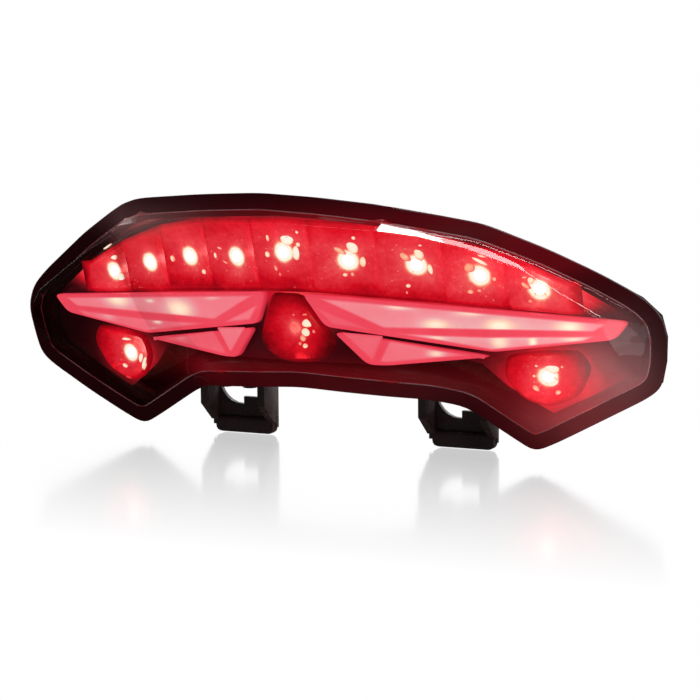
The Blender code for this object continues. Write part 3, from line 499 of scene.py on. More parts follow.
def grained_plastic(name, colour, lighter, roughness, grain=1500.0):
    s = Shader(name)
    base = s.ramp(s.noise(60.0, 6.0), [(0.25, colour), (0.8, lighter)])
    rough = s.span(s.noise(260.0, 4.0), 0.2, 0.8, roughness - 0.08, roughness + 0.1)
    body = s.principled(Base_Color=base, Roughness=rough,
                        Normal=s.bump(s.noise(grain, 2.0, 0.7), 0.35, 0.08))
    return s.close(body.outputs[0])


def metal(name, colour, darker, roughness):
    s = Shader(name)
    base = s.ramp(s.noise(240.0, 6.0), [(0.25, darker), (0.75, colour)])
    rough = s.span(s.noise(720.0, 3.0), 0.2, 0.8, roughness * 0.7, roughness * 1.4)
    body = s.principled(Base_Color=base, Roughness=rough, Metallic=1.0,
                        Normal=s.bump(s.noise(1200.0, 2.0), 0.12, 0.05))
    return s.close(body.outputs[0])


def lit_reflector():
    """Metallised cup in red light: an emission that follows the light painted on the mesh."""
    s = Shader("reflector_lit")
    glow = s.attribute("glow")
    broad = s.span(s.noise(95.0, 4.0), 0.25, 0.75, -0.07, 0.07)
    fine = s.span(s.noise(700.0, 3.0), 0.25, 0.75, -0.04, 0.04)
    level = s.math("ADD", glow, s.math("ADD", broad, fine))
    colour = s.ramp(level, [
        (0.0, lit(24, 2, 4, 0.12)), (0.14, lit(74, 5, 10, 0.12)), (0.28, lit(150, 5, 18, 0.12)),
        (0.42, lit(208, 14, 32, 0.12)), (0.56, lit(229, 52, 64, 0.12)), (0.68, lit(240, 92, 92, 0.12)),
        (0.80, lit(252, 176, 140, 0.12)), (0.90, lit(255, 238, 205, 0.12)), (1.0, lit(255, 252, 235, 0.12)),
    ])
    speck = s.ramp(s.cells(820.0), [(0.08, (1.0, 1.0, 1.0)), (0.24, (0.0, 0.0, 0.0))])
    chance = s.ramp(s.cells(820.0, output="Color"), [(0.60, (0, 0, 0)), (0.72, (1, 1, 1))])
    gate = s.ramp(s.math("ADD", level, s.span(s.noise(60.0, 2.0), 0.3, 0.7, -0.25, 0.2)),
                  [(0.42, (0, 0, 0)), (0.62, (1, 1, 1))])
    sparkle = s.blend(1.0, s.blend(1.0, speck, chance, "MULTIPLY"), gate, "MULTIPLY")
    total = s.blend(sparkle, colour, (*lit(255, 150, 140, 0.12), 1.0))
    light = s.principled(Base_Color=(0.12, 0.008, 0.012), Metallic=0.9, Roughness=0.3,
                         Normal=s.bump(s.cells(420.0), 0.3, 0.25))
    s.put(light.inputs["Emission Color"], total)
    light.inputs["Emission Strength"].default_value = 1.0 / 0.12
    return s.close(light.outputs[0])


def lit_blade():
    """Frosted acrylic lit along its length, lighter where an LED stands behind it."""
    s = Shader("blade_lit")
    glow = s.attribute("glow")
    level = s.math("ADD", glow, s.span(s.noise(140.0, 3.0), 0.25, 0.75, -0.025, 0.025))
    colour = s.ramp(level, [
        (0.0, lit(130, 16, 28, 0.2)), (0.18, lit(226, 58, 80, 0.2)), (0.34, lit(232, 94, 110, 0.2)),
        (0.48, lit(235, 128, 140, 0.2)), (0.62, lit(232, 172, 174, 0.2)),
        (0.80, lit(250, 216, 190, 0.2)), (1.0, lit(255, 250, 222, 0.2)),
    ])
    light = s.principled(Base_Color=(0.25, 0.03, 0.04), Roughness=0.35,
                         Normal=s.bump(s.noise(500.0, 2.0), 0.1, 0.1))
    s.put(light.inputs["Emission Color"], colour)
    light.inputs["Emission Strength"].default_value = 1.0 / 0.2
    return s.close(light.outputs[0])


def led_glow(name, colour, lighter, strength):
    s = Shader(name)
    core = s.ramp(s.noise(300.0, 2.0), [(0.3, colour), (0.7, lighter)])
    light = s.principled(Base_Color=(0.9, 0.85, 0.8), Roughness=0.2)
    s.put(light.inputs["Emission Color"], core)
    light.inputs["Emission Strength"].default_value = strength
    return s.close(light.outputs[0])


def board_mask():
    s = Shader("board_solder_mask")
    grid = s.add("ShaderNodeTexBrick")
    s.put(grid.inputs["Vector"], s.object_space())
    grid.inputs["Scale"].default_value = 160.0
    grid.inputs["Color1"].default_value = (0.008, 0.030, 0.014, 1.0)
    grid.inputs["Color2"].default_value = (0.010, 0.040, 0.018, 1.0)
    grid.inputs["Mortar"].default_value = (0.014, 0.050, 0.024, 1.0)
    grid.inputs["Mortar Size"].default_value = 0.03
    body = s.principled(Base_Color=grid.outputs["Color"], Roughness=0.35,
                        Normal=s.bump(grid.outputs["Fac"], 0.3, 0.1))
    return s.close(body.outputs[0])


def pale_floor():
    """White floor that mirrors softly beside the lamp and fades to plain white."""
    s = Shader("studio_floor")
    axes = s.add("ShaderNodeSeparateXYZ")
    s.put(axes.inputs[0], s.object_space())
    near = s.span(axes.outputs["Y"], *MIRROR_FRONT)
    far = s.span(axes.outputs["Y"], *MIRROR_BACK, 1.0, 0.0)
    aside = s.span(s.math("ABSOLUTE", axes.outputs["X"], 0.0), *MIRROR_ASIDE, 1.0, 0.0)
    share = s.math("MULTIPLY", s.math("MULTIPLY", near, far), aside)
    uneven = s.span(s.noise(3.0, 2.0), 0.2, 0.8, 0.0, 0.01)
    glow = s.add("ShaderNodeEmission")
    s.put(glow.inputs["Color"], s.ramp(s.math("ADD", share, uneven), [
        (0.0, (1.0, 1.0, 1.0)), (1.0, (1.0 - MIRROR,) * 3),
    ]))
    gloss = s.add("ShaderNodeBsdfGlossy")
    gloss.inputs["Roughness"].default_value = 0.13
    s.put(gloss.inputs["Color"], s.ramp(share, [(0.0, (0.0, 0.0, 0.0)), (1.0, (MIRROR,) * 3)]))
    total = s.add("ShaderNodeAddShader")
    s.put(total.inputs[0], glow.outputs[0])
    s.put(total.inputs[1], gloss.outputs[0])
    return s.close(total.outputs[0])


# ---------------------------------------------------------------- lens

def front_row(crease, foot, share):
    point = Vector(crease).lerp(Vector(foot), share)
    point.y -= FRONT_BULGE * 4.0 * share * (1.0 - share)
    return point


def side_vertex(builder, shared, place, side):
    """A vertex on one side; the two sides share those on the centre plane."""
    spot = (place[0] * side, place[1], place[2])
    key = tuple(round(c, 3) for c in spot)
    if key not in shared:
        shared[key] = builder.verts.new(spot)
    return shared[key]


def add_roof(builder, edge, crease):
    for i in range(7):
        builder.faces.new((edge[i], edge[i + 1], crease[i + 1], crease[i]))
    builder.faces.new((edge[7], edge[8], crease[7]))
    builder.faces.new((edge[8], crease[8], crease[7]))


def add_front(builder, shared, crease, feet, side):
    """The bulged front face, in columns from the crease to the foot."""
    columns = []
    for upper, foot in zip(crease, feet):
        column = [upper]
        if upper is not crease[8]:
            start = (abs(upper.co.x), upper.co.y, upper.co.z)
            end = (abs(foot.co.x), foot.co.y, foot.co.z)
            for k in range(1, FRONT_ROWS):
                place = front_row(start, end, k / FRONT_ROWS)
                column.append(side_vertex(builder, shared, place, side))
        columns.append(column + [foot])
    for left, right in zip(columns, columns[1:]):
        last = len(left) - 2
        for k in range(last + 1):
            if len(right) == len(left):
                builder.faces.new((left[k], right[k], right[k + 1], left[k + 1]))
            elif k < last:
                builder.faces.new((left[k], right[0], left[k + 1]))
            else:
                builder.faces.new((left[k], right[0], right[1], left[k + 1]))


def add_wing(builder, edge, lower_crease):
    inner, outer = lower_crease
    builder.faces.new((edge[17], inner, edge[15], edge[16]))
    builder.faces.new((inner, edge[14], edge[15]))
    builder.faces.new((inner, outer, edge[13], edge[14]))
    builder.faces.new((outer, edge[11], edge[12], edge[13]))


def build_window(material):
    """The raised clear part of the lens: roof facets, bulged front and wing facets."""
    builder = bmesh.new()
    rings = [
        rim_ring(RIM_WIDTH - 1.2, 0.6),
        rim_ring(RIM_WIDTH + 0.1, -RIM_CROWN - 0.2),
        rim_ring(RIM_WIDTH + STEP_WIDTH, -RIM_CROWN - STEP_HEIGHT),
    ]
    loops = [[builder.verts.new(p) for p in ring] for ring in rings]
    bridge_all(builder, loops)
    window = loops[-1]
    count = len(window)
    half = len(RIM_RIGHT)
    shared = {}
    for side in (1, -1):
        edge = [window[i if side > 0 else (count - i) % count] for i in range(half)]
        crease = [side_vertex(builder, shared, p, side) for p in CREASE_RIGHT] + [edge[9]]
        lower_crease = [side_vertex(builder, shared, p, side) for p in WING_CREASE]
        feet = [edge[half - k] for k in range(1, 6)] + lower_crease + [edge[11], edge[10]]
        add_roof(builder, edge, crease)
        add_front(builder, shared, crease, feet, side)
        add_wing(builder, edge, lower_crease)
    piece = finish_piece("lens_window", builder, material, ["outer_lens"], 180.0)
    add_bevel(piece, CREASE_ROUND, 3, 15.0)


def closed_tube(builder, rings):
    """Faces through a closed stack of rings, each with its corners rounded."""
    loops = [[builder.verts.new(p) for p in rounded(ring, CORNER_ROUND, 4)] for ring in rings]
    bridge_all(builder, loops + loops[:1])


def build_rim(material):
    """The dark bevelled border of the lens with its skirt."""
    profile = [
        (1.9, 4.4), (1.25, 4.4), (1.1, 4.1), (0.35, 1.3), (0.08, 0.5), (0.0, 0.15), (0.12, -0.1),
        (0.45, -0.22), (1.2, -0.32), (3.0, -0.62), (4.4, -0.84), (4.75, -0.86), (4.95, -0.72),
        (5.0, -0.4), (4.9, 1.0), (3.6, 2.0), (2.6, 3.2),
    ]
    builder = bmesh.new()
    closed_tube(builder, [rim_ring(inset, depth) for inset, depth in profile])
    finish_piece("lens_rim", builder, material, smooth=180.0)


def build_seam_highlight(material):
    """A thin pale tube where the raised window meets the rim: a painted highlight standing in for the light
    caught along that seam.
    """
    middle_inset, middle_depth, radius, sides = RIM_WIDTH + 0.12, -RIM_CROWN - 0.05, 0.2, 8
    rings = []
    for k in range(sides):
        angle = 2 * math.pi * k / sides
        rings.append(rim_ring(middle_inset + radius * math.cos(angle),
                              middle_depth + radius * math.sin(angle)))
    builder = bmesh.new()
    closed_tube(builder, rings)
    finish_piece("lens_seam_highlight", builder, material, smooth=180.0)


# ---------------------------------------------------------------- reflectors

def glow_layer(builder):
    return builder.verts.layers.float.new("glow")


def cup(builder, layer, outline, centre, front, light, rings):
    """A bowl from an outline to the LED, with the light that falls on it."""
    loops = []
    for k in range(rings + 1):
        share = 1.0 - k / rings
        depth = CUP_REAR + (front - CUP_REAR) * share ** 1.7
        ring = []
        for p in outline:
            angle = math.atan2(p[1] - centre[1], p[0] - centre[0])
            hx, hz = centre[0] + LED_HOLE * math.cos(angle), centre[1] + LED_HOLE * math.sin(angle)
            x, z = hx + (p[0] - hx) * share, hz + (p[1] - hz) * share
            vertex = builder.verts.new(sheet_point(x, z, depth))
            vertex[layer] = light(x, z)
            ring.append(vertex)
        loops.append(ring)
    bridge_all(builder, loops)
    return loops


def cell_bottom(x):
    """Height of the row's foot, which follows the blades' top edge."""
    blade_top = -12.8 - 0.085 * (max(abs(x), 6.0) - 6.0)
    return blade_top + CELL_FOOT


def cell_outline(index, side):
    outer = CELL_EDGES[index]
    if index == 0:
        return [(-outer, CELL_TOPS[0]), (0.0, CELL_TOPS[0] + 0.6), (outer, CELL_TOPS[0]),
                (outer, cell_bottom(outer)), (0.0, cell_bottom(0.0)), (-outer, cell_bottom(outer))]
    inner = CELL_EDGES[index - 1]
    corners = [(inner, CELL_TOPS[index - 1]), (outer, CELL_TOPS[index]),
               (outer, cell_bottom(outer)), (inner, cell_bottom(inner))]
    return corners if side > 0 else [(-x, z) for x, z in reversed(corners)]


def led_light(distance, halo):
    """Light on a cup beside its LED: a burnt-out core and a soft ring."""
    return 0.75 * math.exp(-(distance / 2.85) ** 4) + halo * math.exp(-(distance / 5.2) ** 2)


def nearest_led(x):
    return min(TOP_LEDS, key=lambda led: abs(led[0] - abs(x)))


def row_light(x, z):
    """Light across the whole row, so that the cells run into each other."""
    glow = 0.53 + 0.0005 * max(-60.0, min(90.0, x))
    glow += led_light(min(math.hypot(abs(x) - cx, z - cz) for cx, cz in TOP_LEDS), 0.16)
    drop = z - nearest_led(x)[1]
    glow -= 0.16 * max(0.0, min(1.0, (-drop - 5.0) / 5.0))
    glow -= 0.12 * max(0.0, min(1.0, (drop - 5.0) / 6.0))
    edge = min(abs(abs(x) - e) for e in CELL_EDGES)
    glow -= 0.035 * math.exp(-(edge / 0.8) ** 2)
    return glow


def rim_depth(vertex):
    return led_plane(vertex.co.x, vertex.co.z) - vertex.co.y


def add_row_flange(builder, layer):
    """Turn the outer edge of the row out and back, down to the bezel."""
    builder.verts.index_update()
    edges = [e for e in builder.edges if e.is_boundary and rim_depth(e.verts[0]) > ROW_DEPTH - 0.3]
    turned = {}
    for vertex in [v for e in edges for v in e.verts]:
        if vertex.index in turned:
            continue
        x, z = vertex.co.x, vertex.co.z
        at_end = abs(x) > CELL_EDGES[-1] - 0.2
        shift_x = math.copysign(FLANGE_SIDE, x) if at_end else 0.0
        shift_z = FLANGE_TOP if z > nearest_led(x)[1] else -FLANGE_FOOT
        foot = builder.verts.new(sheet_point(x + shift_x, z + shift_z, BEZEL_FACE))
        foot[layer] = vertex[layer] - (0.3 if at_end else 0.16)
        turned[vertex.index] = foot
    for edge in edges:
        first, second = edge.verts
        builder.faces.new((second, turned[second.index], turned[first.index], first))


def add_flashes(builder, layer, surface, flashes):
    """Small domed facets of the cup that throw the LED straight out."""
    tree = kdtree.KDTree(len(surface))
    depths = []
    for vertex in surface:
        tree.insert((vertex.co.x, 0.0, vertex.co.z), len(depths))
        depths.append(rim_depth(vertex))
    tree.balance()
    for x, z, wide, tall, turn, power in flashes:
        found = tree.find_n((x, 0.0, z), 4)
        weights = [1.0 / (distance + 0.05) for _, _, distance in found]
        depth = sum(w * depths[f[1]] for w, f in zip(weights, found)) / sum(weights)
        cosine, sine = math.cos(math.radians(turn)), math.sin(math.radians(turn))
        rings = []
        for reach, rise, dim in FLASH_RINGS:
            ring = []
            for k in range(FLASH_SIDES):
                angle = 2 * math.pi * k / FLASH_SIDES
                u = 0.5 * wide * reach * math.cos(angle)
                v = 0.5 * tall * reach * math.sin(angle)
                place = sheet_point(x + u * cosine - v * sine, z + u * sine + v * cosine, depth + rise)
                vertex = builder.verts.new(place)
                vertex[layer] = power - dim
                ring.append(vertex)
            rings.append(ring)
        bridge_all(builder, rings)
        builder.faces.new(rings[-1])
        builder.faces.new(rings[0])


def build_upper_reflector(material):
    builder = bmesh.new()
    layer = glow_layer(builder)
    for index, (cx, cz) in enumerate(TOP_LEDS):
        for side in (1, -1) if index else (1,):
            outline = refined(cell_outline(index, side), 1.1)
            cup(builder, layer, outline, (cx * side, cz), ROW_DEPTH, row_light, 14)
    bmesh.ops.remove_doubles(builder, verts=builder.verts[:], dist=0.01)
    add_row_flange(builder, layer)
    add_flashes(builder, layer, builder.verts[:], ROW_FLASHES)
    finish_piece("reflector_row", builder, material, ["upper_reflector"])


def build_single_cup(name, node, outline, centre, material, reach, base, flashes, core=1.0):
    """A cup with its own flange; base is its light, which falls off over the reach."""
    builder = bmesh.new()
    layer = glow_layer(builder)
    fine = refined(rounded(outline, 2.5, 4), 1.0)

    def light(x, z):
        distance = math.hypot(x - centre[0], z - centre[1])
        fall = min(1.0, distance / reach) ** 2.0
        return base + core * led_light(distance, 0.14) - 0.75 * base * fall

    loops = cup(builder, layer, fine, centre, CUP_DEPTH, light, 12)
    flange = []
    for vertex in loops[0]:
        x, z = vertex.co.x, vertex.co.z
        stretch = 1.0 + 1.5 / math.hypot(x - centre[0], z - centre[1])
        x, z = centre[0] + (x - centre[0]) * stretch, centre[1] + (z - centre[1]) * stretch
        turned = builder.verts.new(sheet_point(x, z, BEZEL_FACE))
        turned[layer] = vertex[layer] * 0.6
        flange.append(turned)
    bridge(builder, flange, loops[0])
    add_flashes(builder, layer, [vertex for loop in loops for vertex in loop], flashes)
    finish_piece(name, builder, material, [node])


# Each ring of a flash: size, height over the cup, and how much dimmer than its middle.
FLASH_RINGS = [(1.15, -0.35, 0.35), (1.0, 0.15, 0.12), (0.7, 0.32, 0.03), (0.35, 0.40, 0.0)]
FLASH_SIDES = 12
# Each flash: across, up, width, height, turn in degrees, brightness.
ROW_FLASHES = [
    (-74.3, -6.3, 3.0, 1.9, 10, 0.98), (-73.2, -13.8, 3.2, 3.6, 0, 0.98), (-75.7, -2.7, 4.6, 0.8, 28, 0.95),
    (-47.2, -5.1, 2.2, 2.1, 0, 0.93), (-34.4, -8.8, 1.9, 1.6, 0, 0.92),
    (-27.7, -2.7, 1.0, 1.8, 0, 0.92), (-24.6, -4.9, 2.2, 0.5, -25, 0.82), (-25.8, -0.2, 1.9, 0.7, -15, 0.84),
    (2.2, 4.4, 3.7, 3.9, -12, 0.98), (4.5, -0.2, 2.6, 4.6, -8, 0.97), (-5.9, -1.0, 1.9, 1.9, 0, 0.92),
    (-4.8, 4.5, 1.1, 2.4, 0, 0.93), (5.6, 2.6, 1.5, 1.4, 20, 0.88), (6.1, 6.7, 0.8, 1.0, 0, 0.88),
    (-3.3, -5.4, 1.2, 2.0, 15, 0.78), (-1.6, -7.2, 1.0, 1.2, 0, 0.74),
    (21.6, 2.1, 3.1, 4.6, 18, 0.95), (17.5, 0.7, 4.0, 1.6, -32, 0.80), (24.4, -2.9, 2.2, 3.3, -12, 0.93),
    (22.8, 4.9, 1.1, 1.1, 0, 0.93), (18.4, -7.2, 1.5, 1.2, 0, 0.88), (20.6, -7.0, 1.0, 1.4, 0, 0.82),
    (41.4, -0.1, 2.8, 4.3, 8, 0.93), (37.0, -1.2, 3.6, 2.2, -35, 0.82), (44.4, -5.2, 1.6, 3.3, 12, 0.92),
    (37.4, -10.6, 1.4, 1.3, 0, 0.92), (42.6, 2.6, 1.1, 0.6, 0, 0.88), (37.2, -12.6, 0.6, 1.0, 0, 0.8),
    (55.9, -4.6, 3.4, 2.9, 20, 0.80), (59.4, -2.2, 5.4, 1.2, -32, 0.93), (60.9, -0.6, 2.4, 0.8, -15, 0.88),
    (63.3, -8.2, 1.3, 1.3, 0, 0.84), (55.9, -12.4, 1.8, 1.5, 0, 0.82), (58.4, -12.0, 1.3, 1.0, 0, 0.78),
    (74.0, -8.4, 2.6, 1.8, 70, 0.94), (72.1, -10.1, 3.6, 1.3, -35, 0.84), (72.3, -7.6, 1.4, 0.6, 0, 0.85),
    (76.3, -14.0, 3.8, 3.6, 0, 0.97), (73.6, -15.2, 1.3, 1.2, 0, 0.8),
]
CENTRE_FLASHES = [
    (5.1, -23.1, 4.2, 2.6, 20, 0.96), (3.6, -26.5, 3.2, 2.9, 0, 0.95), (3.1, -31.0, 1.6, 1.8, 0, 0.88),
    (2.3, -28.6, 1.8, 2.6, 10, 0.80), (1.4, -30.2, 1.0, 1.2, 0, 0.76), (6.4, -26.0, 0.9, 1.2, 0, 0.78),
    (5.2, -20.2, 2.6, 0.6, 10, 0.74), (0.6, -20.6, 0.8, 0.8, 0, 0.7),
]
LEFT_FLASHES = [
    (-70.4, -42.0, 2.4, 3.6, -20, 0.98), (-67.6, -43.2, 5.4, 1.7, 62, 0.98),
    (-78.6, -45.4, 2.2, 1.6, 0, 0.96), (-75.4, -35.4, 4.6, 1.0, 6, 0.98),
    (-70.0, -45.6, 1.4, 1.0, 0, 0.60), (-76.2, -49.0, 2.6, 0.6, -10, 0.62),
]
RIGHT_FLASHES = [
    (77.4, -37.4, 4.2, 3.6, 0, 0.98), (77.0, -42.4, 4.4, 3.6, 0, 0.98), (72.2, -44.4, 1.9, 2.6, 25, 0.82),
    (79.1, -45.6, 1.8, 2.0, 0, 0.84), (71.7, -40.2, 0.9, 0.9, 0, 0.84), (72.9, -36.7, 0.9, 0.9, 0, 0.84),
    (80.6, -37.0, 0.8, 0.8, 0, 0.8),
]
SHIELD = [(4.8, -14.6), (9.6, -23.8), (12.0, -28.5), (11.0, -32.0), (6.0, -34.8)]
LOWER_CUP = [
    (66.0, -33.8), (86.0, -32.0), (89.0, -37.0), (84.5, -45.5), (76.0, -49.0),
    (69.5, -46.6), (65.0, -40.4),
]


# ---------------------------------------------------------------- blades

UPPER_BLADE = [(6.4, -12.9), (60.0, -17.4), (103.4, -21.2), (98.6, -27.2), (62.0, -31.6), (11.9, -23.8)]
LOWER_BLADE = [(14.2, -25.6), (58.5, -32.7), (60.5, -33.4), (29.0, -36.6), (23.2, -36.4)]
# Each facet: its outline, then its light level on the right and on the left blade.
UPPER_FACETS = [
    ([(11.0, -14.2), (60.0, -18.4), (98.0, -21.7), (93.0, -24.7), (30.0, -24.1)], 0.50, 0.46),
    ([(32.0, -25.5), (60.0, -26.3), (94.0, -25.7), (90.0, -27.8), (62.0, -31.0)], 0.50, 0.40),
    ([(9.8, -17.0), (27.0, -24.9), (14.4, -22.9)], 0.34, 0.44),
]
LOWER_FACETS = [
    ([(16.9, -25.5), (29.6, -26.6), (25.4, -35.2)], 0.36, 0.46),
    ([(31.2, -28.0), (56.0, -32.8), (29.0, -35.6), (27.0, -35.4)], 0.42, 0.36),
]
# Each hot spot: across, up, half width, half height, extra light.
RIGHT_SPOTS = [
    (35.7, -16.7, 4.0, 0.8, 0.42), (45.9, -22.7, 3.4, 1.7, 0.42), (56.6, -18.8, 4.2, 0.8, 0.32),
    (65.2, -22.8, 3.4, 1.9, 0.42), (86.1, -22.9, 3.8, 1.7, 0.42), (46.0, -27.3, 2.6, 1.6, 0.26),
    (64.6, -28.4, 2.4, 2.0, 0.34), (74.6, -28.1, 1.1, 1.7, 0.46), (86.9, -27.1, 3.2, 1.0, 0.28),
    (44.9, -32.3, 2.6, 1.2, 0.42), (65.0, -24.0, 24.0, 5.0, 0.16),
]
LEFT_SPOTS = [
    (-73.0, -20.5, 5.2, 2.4, 0.44), (-57.7, -19.9, 1.8, 0.5, 0.34), (-44.9, -21.7, 5.4, 3.2, 0.46),
    (-30.2, -15.9, 3.4, 0.9, 0.30), (-56.1, -27.0, 1.9, 0.7, 0.50), (-78.6, -26.8, 3.4, 1.6, 0.18),
    (-60.6, -32.4, 1.3, 0.7, 0.36), (-47.2, -30.5, 2.4, 1.6, 0.28), (-58.0, -29.8, 1.9, 0.6, 0.20),
    (-60.0, -21.0, 24.0, 4.0, 0.06),
]


# Each station of a blade's body: inset, depth and light.
BORDER_GLOW = 0.24
BLADE_STATIONS = [(0.0, 3.5, 0.05), (0.0, 6.2, 0.16), (0.25, 6.75, 0.22), (0.8, 7.0, BORDER_GLOW)]
# Inset and depth of a facet's outer edge, lip and floor.
FACET_STEPS = [(0.0, 7.03), (0.3, 7.14), (0.75, 7.10)]


def facet_light(x, z, level):
    glow = level
    for cx, cz, wide, tall, power in RIGHT_SPOTS if x > 0 else LEFT_SPOTS:
        glow += power * math.exp(-((x - cx) / wide) ** 2 - ((z - cz) / tall) ** 2)
    return glow


def lit_ring(builder, layer, points, side, depth, glow):
    made = []
    for p in points:
        vertex = builder.verts.new(sheet_point(p[0] * side, p[1], depth))
        vertex[layer] = glow
        made.append(vertex)
    return made


def fill_facet(builder, layer, floor, level):
    """Close the floor of a facet with a mesh fine enough to carry its hot spots."""
    for vertex in floor:
        vertex[layer] = facet_light(vertex.co.x, vertex.co.z, level)
    known = len(builder.verts)
    face = builder.faces.new(floor)
    made = bmesh.ops.triangulate(builder, faces=[face])
    edges = list({e for f in made["faces"] for e in f.edges})
    bmesh.ops.subdivide_edges(builder, edges=edges, cuts=4, use_grid_fill=True)
    builder.verts.ensure_lookup_table()
    for vertex in builder.verts[known:]:
        vertex[layer] = facet_light(vertex.co.x, vertex.co.z, level)


def build_blade(name, node, side, outline, facets, material):
    """A light guide: rounded body, proud border and sunk, brighter facets."""
    builder = bmesh.new()
    layer = glow_layer(builder)
    corners = rounded(outline, 2.2, 4)
    loops = [lit_ring(builder, layer, inset_flat(corners, inset), side, depth, glow)
             for inset, depth, glow in BLADE_STATIONS]
    bridge_all(builder, loops)
    builder.faces.new(loops[0])
    builder.faces.new(loops[-1])
    for facet, right_level, left_level in facets:
        level = right_level if side > 0 else left_level
        outlines = [rounded(inset_flat(facet, inset), 0.7, 2) for inset, _ in FACET_STEPS]
        glows = (BORDER_GLOW, 0.5 * (level + BORDER_GLOW), level)
        loops = [lit_ring(builder, layer, points, side, depth, glow)
                 for points, (_, depth), glow in zip(refined_alike(outlines, 1.0), FACET_STEPS, glows)]
        bridge_all(builder, loops)
        fill_facet(builder, layer, loops[-1], level)
    finish_piece(name, builder, material, [node])


# ---------------------------------------------------------------- stage

def look_from(target, azimuth, elevation, distance, roll=0.0):
    a, e = math.radians(azimuth), math.radians(elevation)
    back = Vector((math.sin(a) * math.cos(e), -math.cos(a) * math.cos(e), math.sin(e)))
    turn = (-back).to_track_quat("-Z", "Y").to_matrix() @ Matrix.Rotation(math.radians(roll), 3, "Z")
    place = turn.to_4x4()
    place.translation = Vector(target) + back * distance
    return place


def area_light(name, size, power, place):
    data = bpy.data.lights.new(name, "AREA")
    data.shape = "RECTANGLE"
    data.size, data.size_y = size
    data.energy = power
    lamp = bpy.data.objects.new(name, data)
    bpy.context.scene.collection.objects.link(lamp)
    lamp.matrix_world = place
    lamp.visible_camera = False
    return lamp


def build_lights():
    """Four dim boxes round the lamp, and a bar overhead for the bright mark on the roof."""
    target = (0.0, 0.0, 0.05)
    for name, azimuth, elevation, distance, size, power in SOFTBOXES:
        area_light(name, size, power, look_from(target, azimuth, elevation, distance))
    strip = area_light("strip_softbox", STRIP_SIZE, STRIP_POWER, Matrix.Translation(STRIP_PLACE))
    strip.visible_diffuse = False


def build_sky():
    """Bright behind the lamp and dim in front of it, so that the lens stays dark."""
    world = bpy.data.worlds.new("studio")
    world.use_nodes = True
    tree = world.node_tree
    back = tree.nodes["Background"]
    coordinates = tree.nodes.new("ShaderNodeTexCoord")
    axes = tree.nodes.new("ShaderNodeSeparateXYZ")
    tree.links.new(coordinates.outputs["Generated"], axes.inputs[0])
    turn = tree.nodes.new("ShaderNodeVectorMath")
    turn.operation = "DOT_PRODUCT"
    turn.inputs[1].default_value = (0.6, 0.8, 0.0)
    tree.links.new(coordinates.outputs["Generated"], turn.inputs[0])
    bands = []
    for source, stops in ((turn.outputs["Value"], SKY), (axes.outputs["Z"], SKY_HEIGHT)):
        share = tree.nodes.new("ShaderNodeMapRange")
        share.inputs["From Min"].default_value = -1.0
        tree.links.new(source, share.inputs["Value"])
        band = tree.nodes.new("ShaderNodeValToRGB")
        tree.links.new(share.outputs["Result"], band.inputs["Fac"])
        for _ in stops[2:]:
            band.color_ramp.elements.new(0.5)
        for stop, (place, level) in zip(band.color_ramp.elements, stops):
            stop.position = place
            stop.color = (level, level, level, 1.0)
        bands.append(band.outputs["Color"])
    both = tree.nodes.new("ShaderNodeMix")
    both.data_type = "RGBA"
    both.blend_type = "MULTIPLY"
    both.inputs[0].default_value = 1.0
    tree.links.new(bands[0], both.inputs[6])
    tree.links.new(bands[1], both.inputs[7])
    path = tree.nodes.new("ShaderNodeLightPath")
    seen = tree.nodes.new("ShaderNodeMix")
    seen.data_type = "RGBA"
    tree.links.new(path.outputs["Is Camera Ray"], seen.inputs[0])
    tree.links.new(both.outputs[2], seen.inputs[6])
    seen.inputs[7].default_value = (1.0, 1.0, 1.0, 1.0)
    tree.links.new(seen.outputs[2], back.inputs["Color"])
    bpy.context.scene.world = world


def build_floor():
    builder = bmesh.new()
    steps = [FLOOR_REACH * (2.0 * i / FLOOR_ROWS - 1.0) for i in range(FLOOR_ROWS + 1)]
    grid = [[builder.verts.new((x, y, -0.0004)) for y in steps] for x in steps]
    for i in range(FLOOR_ROWS):
        for j in range(FLOOR_ROWS):
            builder.faces.new((grid[i][j], grid[i + 1][j], grid[i + 1][j + 1], grid[i][j + 1]))
    mesh = bpy.data.meshes.new("studio_floor")
    builder.to_mesh(mesh)
    builder.free()
    floor = bpy.data.objects.new("studio_floor", mesh)
    bpy.context.scene.collection.objects.link(floor)
    mesh.materials.append(pale_floor())
    floor.visible_glossy = False


def build_camera():
    data = bpy.data.cameras.new("camera")
    data.lens = 128.571
    data.sensor_width = 36.0
    data.clip_start, data.clip_end = 0.01, 50.0
    camera = bpy.data.objects.new("camera", data)
    bpy.context.scene.collection.objects.link(camera)
    aim = world_point((22.84, 0.0, -30.0))
    camera.matrix_world = look_from(aim, 24.61, 8.0, 0.78223, -0.418)
    bpy.context.scene.camera = camera
    bpy.context.scene.view_settings.view_transform = "Standard"


def build_stage():
    build_floor()
    build_sky()
    build_lights()
    build_camera()


# ---------------------------------------------------------------- build

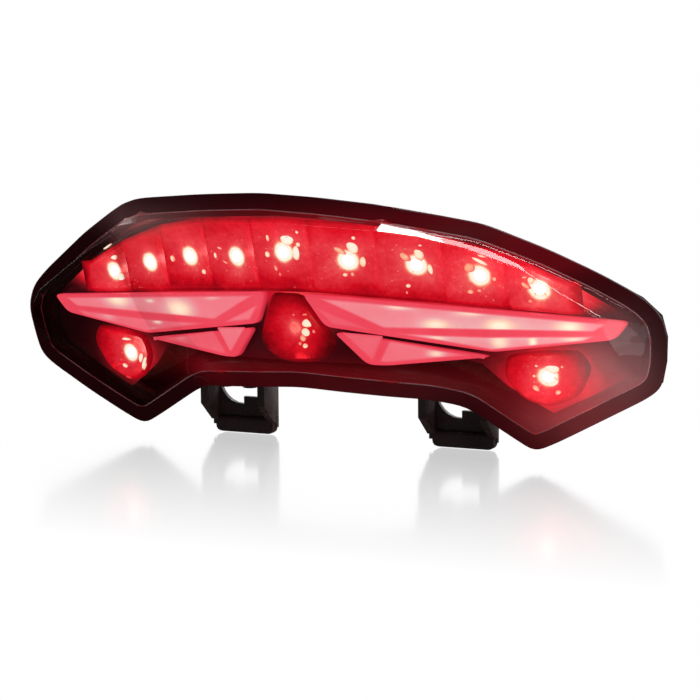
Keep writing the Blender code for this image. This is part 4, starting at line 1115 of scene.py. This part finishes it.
def build_lamp():
    clear = smoked_lens()
    rim = rim_plastic()
    # Pale material of the tube that stands in for the highlight along the seam: a painted highlight.
    seam_highlight_tube = gloss_black("seam_highlight_pale", (0.16, 0.09, 0.10), (0.30, 0.20, 0.21), 0.15)
    cups = lit_reflector()
    blades = lit_blade()
    leds = led_glow("led_lit", (1.0, 0.90, 0.74), (1.0, 0.96, 0.88), 5.0)
    red_led = led_glow("led_lit_dim", (1.0, 0.16, 0.12), (1.0, 0.30, 0.24), 1.2)
    bezel = bezel_gloss()
    housing = grained_plastic("housing_grain", (0.010, 0.010, 0.011), (0.022, 0.022, 0.024), 0.5)
    rubber = grained_plastic("rubber_matt", (0.012, 0.012, 0.012), (0.03, 0.03, 0.03), 0.75, 900.0)
    vent = grained_plastic("vent_moulded", (0.03, 0.03, 0.032), (0.07, 0.07, 0.075), 0.5)
    nylon = grained_plastic("nylon_natural", (0.62, 0.60, 0.54), (0.80, 0.78, 0.72), 0.45)
    coat = gloss_black("bracket_powder_coat", (0.020, 0.009, 0.009), (0.045, 0.022, 0.021), 0.26, 1.6)
    zinc = metal("zinc_plated", (0.62, 0.62, 0.63), (0.42, 0.42, 0.44), 0.28)
    brass = metal("brass_turned", (0.80, 0.62, 0.28), (0.55, 0.40, 0.16), 0.25)
    board = board_mask()

    build_window(clear)
    build_rim(rim)
    build_seam_highlight(seam_highlight_tube)
    build_upper_reflector(cups)
    shield = SHIELD + mirrored(SHIELD)
    build_single_cup("reflector_centre", "centre_reflector", shield, CENTRE_LED, cups, 13.0, 0.5,
                     CENTRE_FLASHES, 0.25)
    for side, word in ((1, "right"), (-1, "left")):
        outline = [(p[0] * side, p[1]) for p in LOWER_CUP]
        if side < 0:
            outline.reverse()
        centre = (LOWER_LED[0] * side, LOWER_LED[1])
        build_single_cup("reflector_%s" % word, "%s_lower_reflector" % word, outline, centre,
                         cups, 15.0, 0.54, RIGHT_FLASHES if side > 0 else LEFT_FLASHES)
        build_blade("blade_%s_upper" % word, "%s_upper_blade" % word, side, UPPER_BLADE, UPPER_FACETS,
                    blades)
        build_blade("blade_%s_lower" % word, "%s_lower_blade" % word, side, LOWER_BLADE, LOWER_FACETS,
                    blades)
        softened_copy("%s_bracket" % word, coat, 0.5, 3)
        paint("%s_circuit_board" % word, board)
        softened_copy("%s_threaded_insert" % word, brass, 0.15)
        for number in (1, 2):
            softened_copy("%s_bracket_screw_%d" % (word, number), zinc, 0.15)
            paint("%s_board_screw_%d" % (word, number), zinc)
        for number in range(1, 5):
            paint("%s_blade_led_%d" % (word, number), leds)
        paint("%s_lower_led" % word, leds)
    for number in range(1, 10):
        paint("top_led_%d" % number, leds)
    paint("centre_led", red_led)
    paint("centre_circuit_board", board)
    paint("board_connector", nylon)
    paint("inner_bezel", bezel)
    softened_copy("rear_housing", housing, 0.5, 2)
    softened_copy("breather_vent", vent, 0.2)
    softened_copy("wire_grommet", rubber, 0.3)
    paint("lens_seal", rubber)


build_lamp()
build_stage()
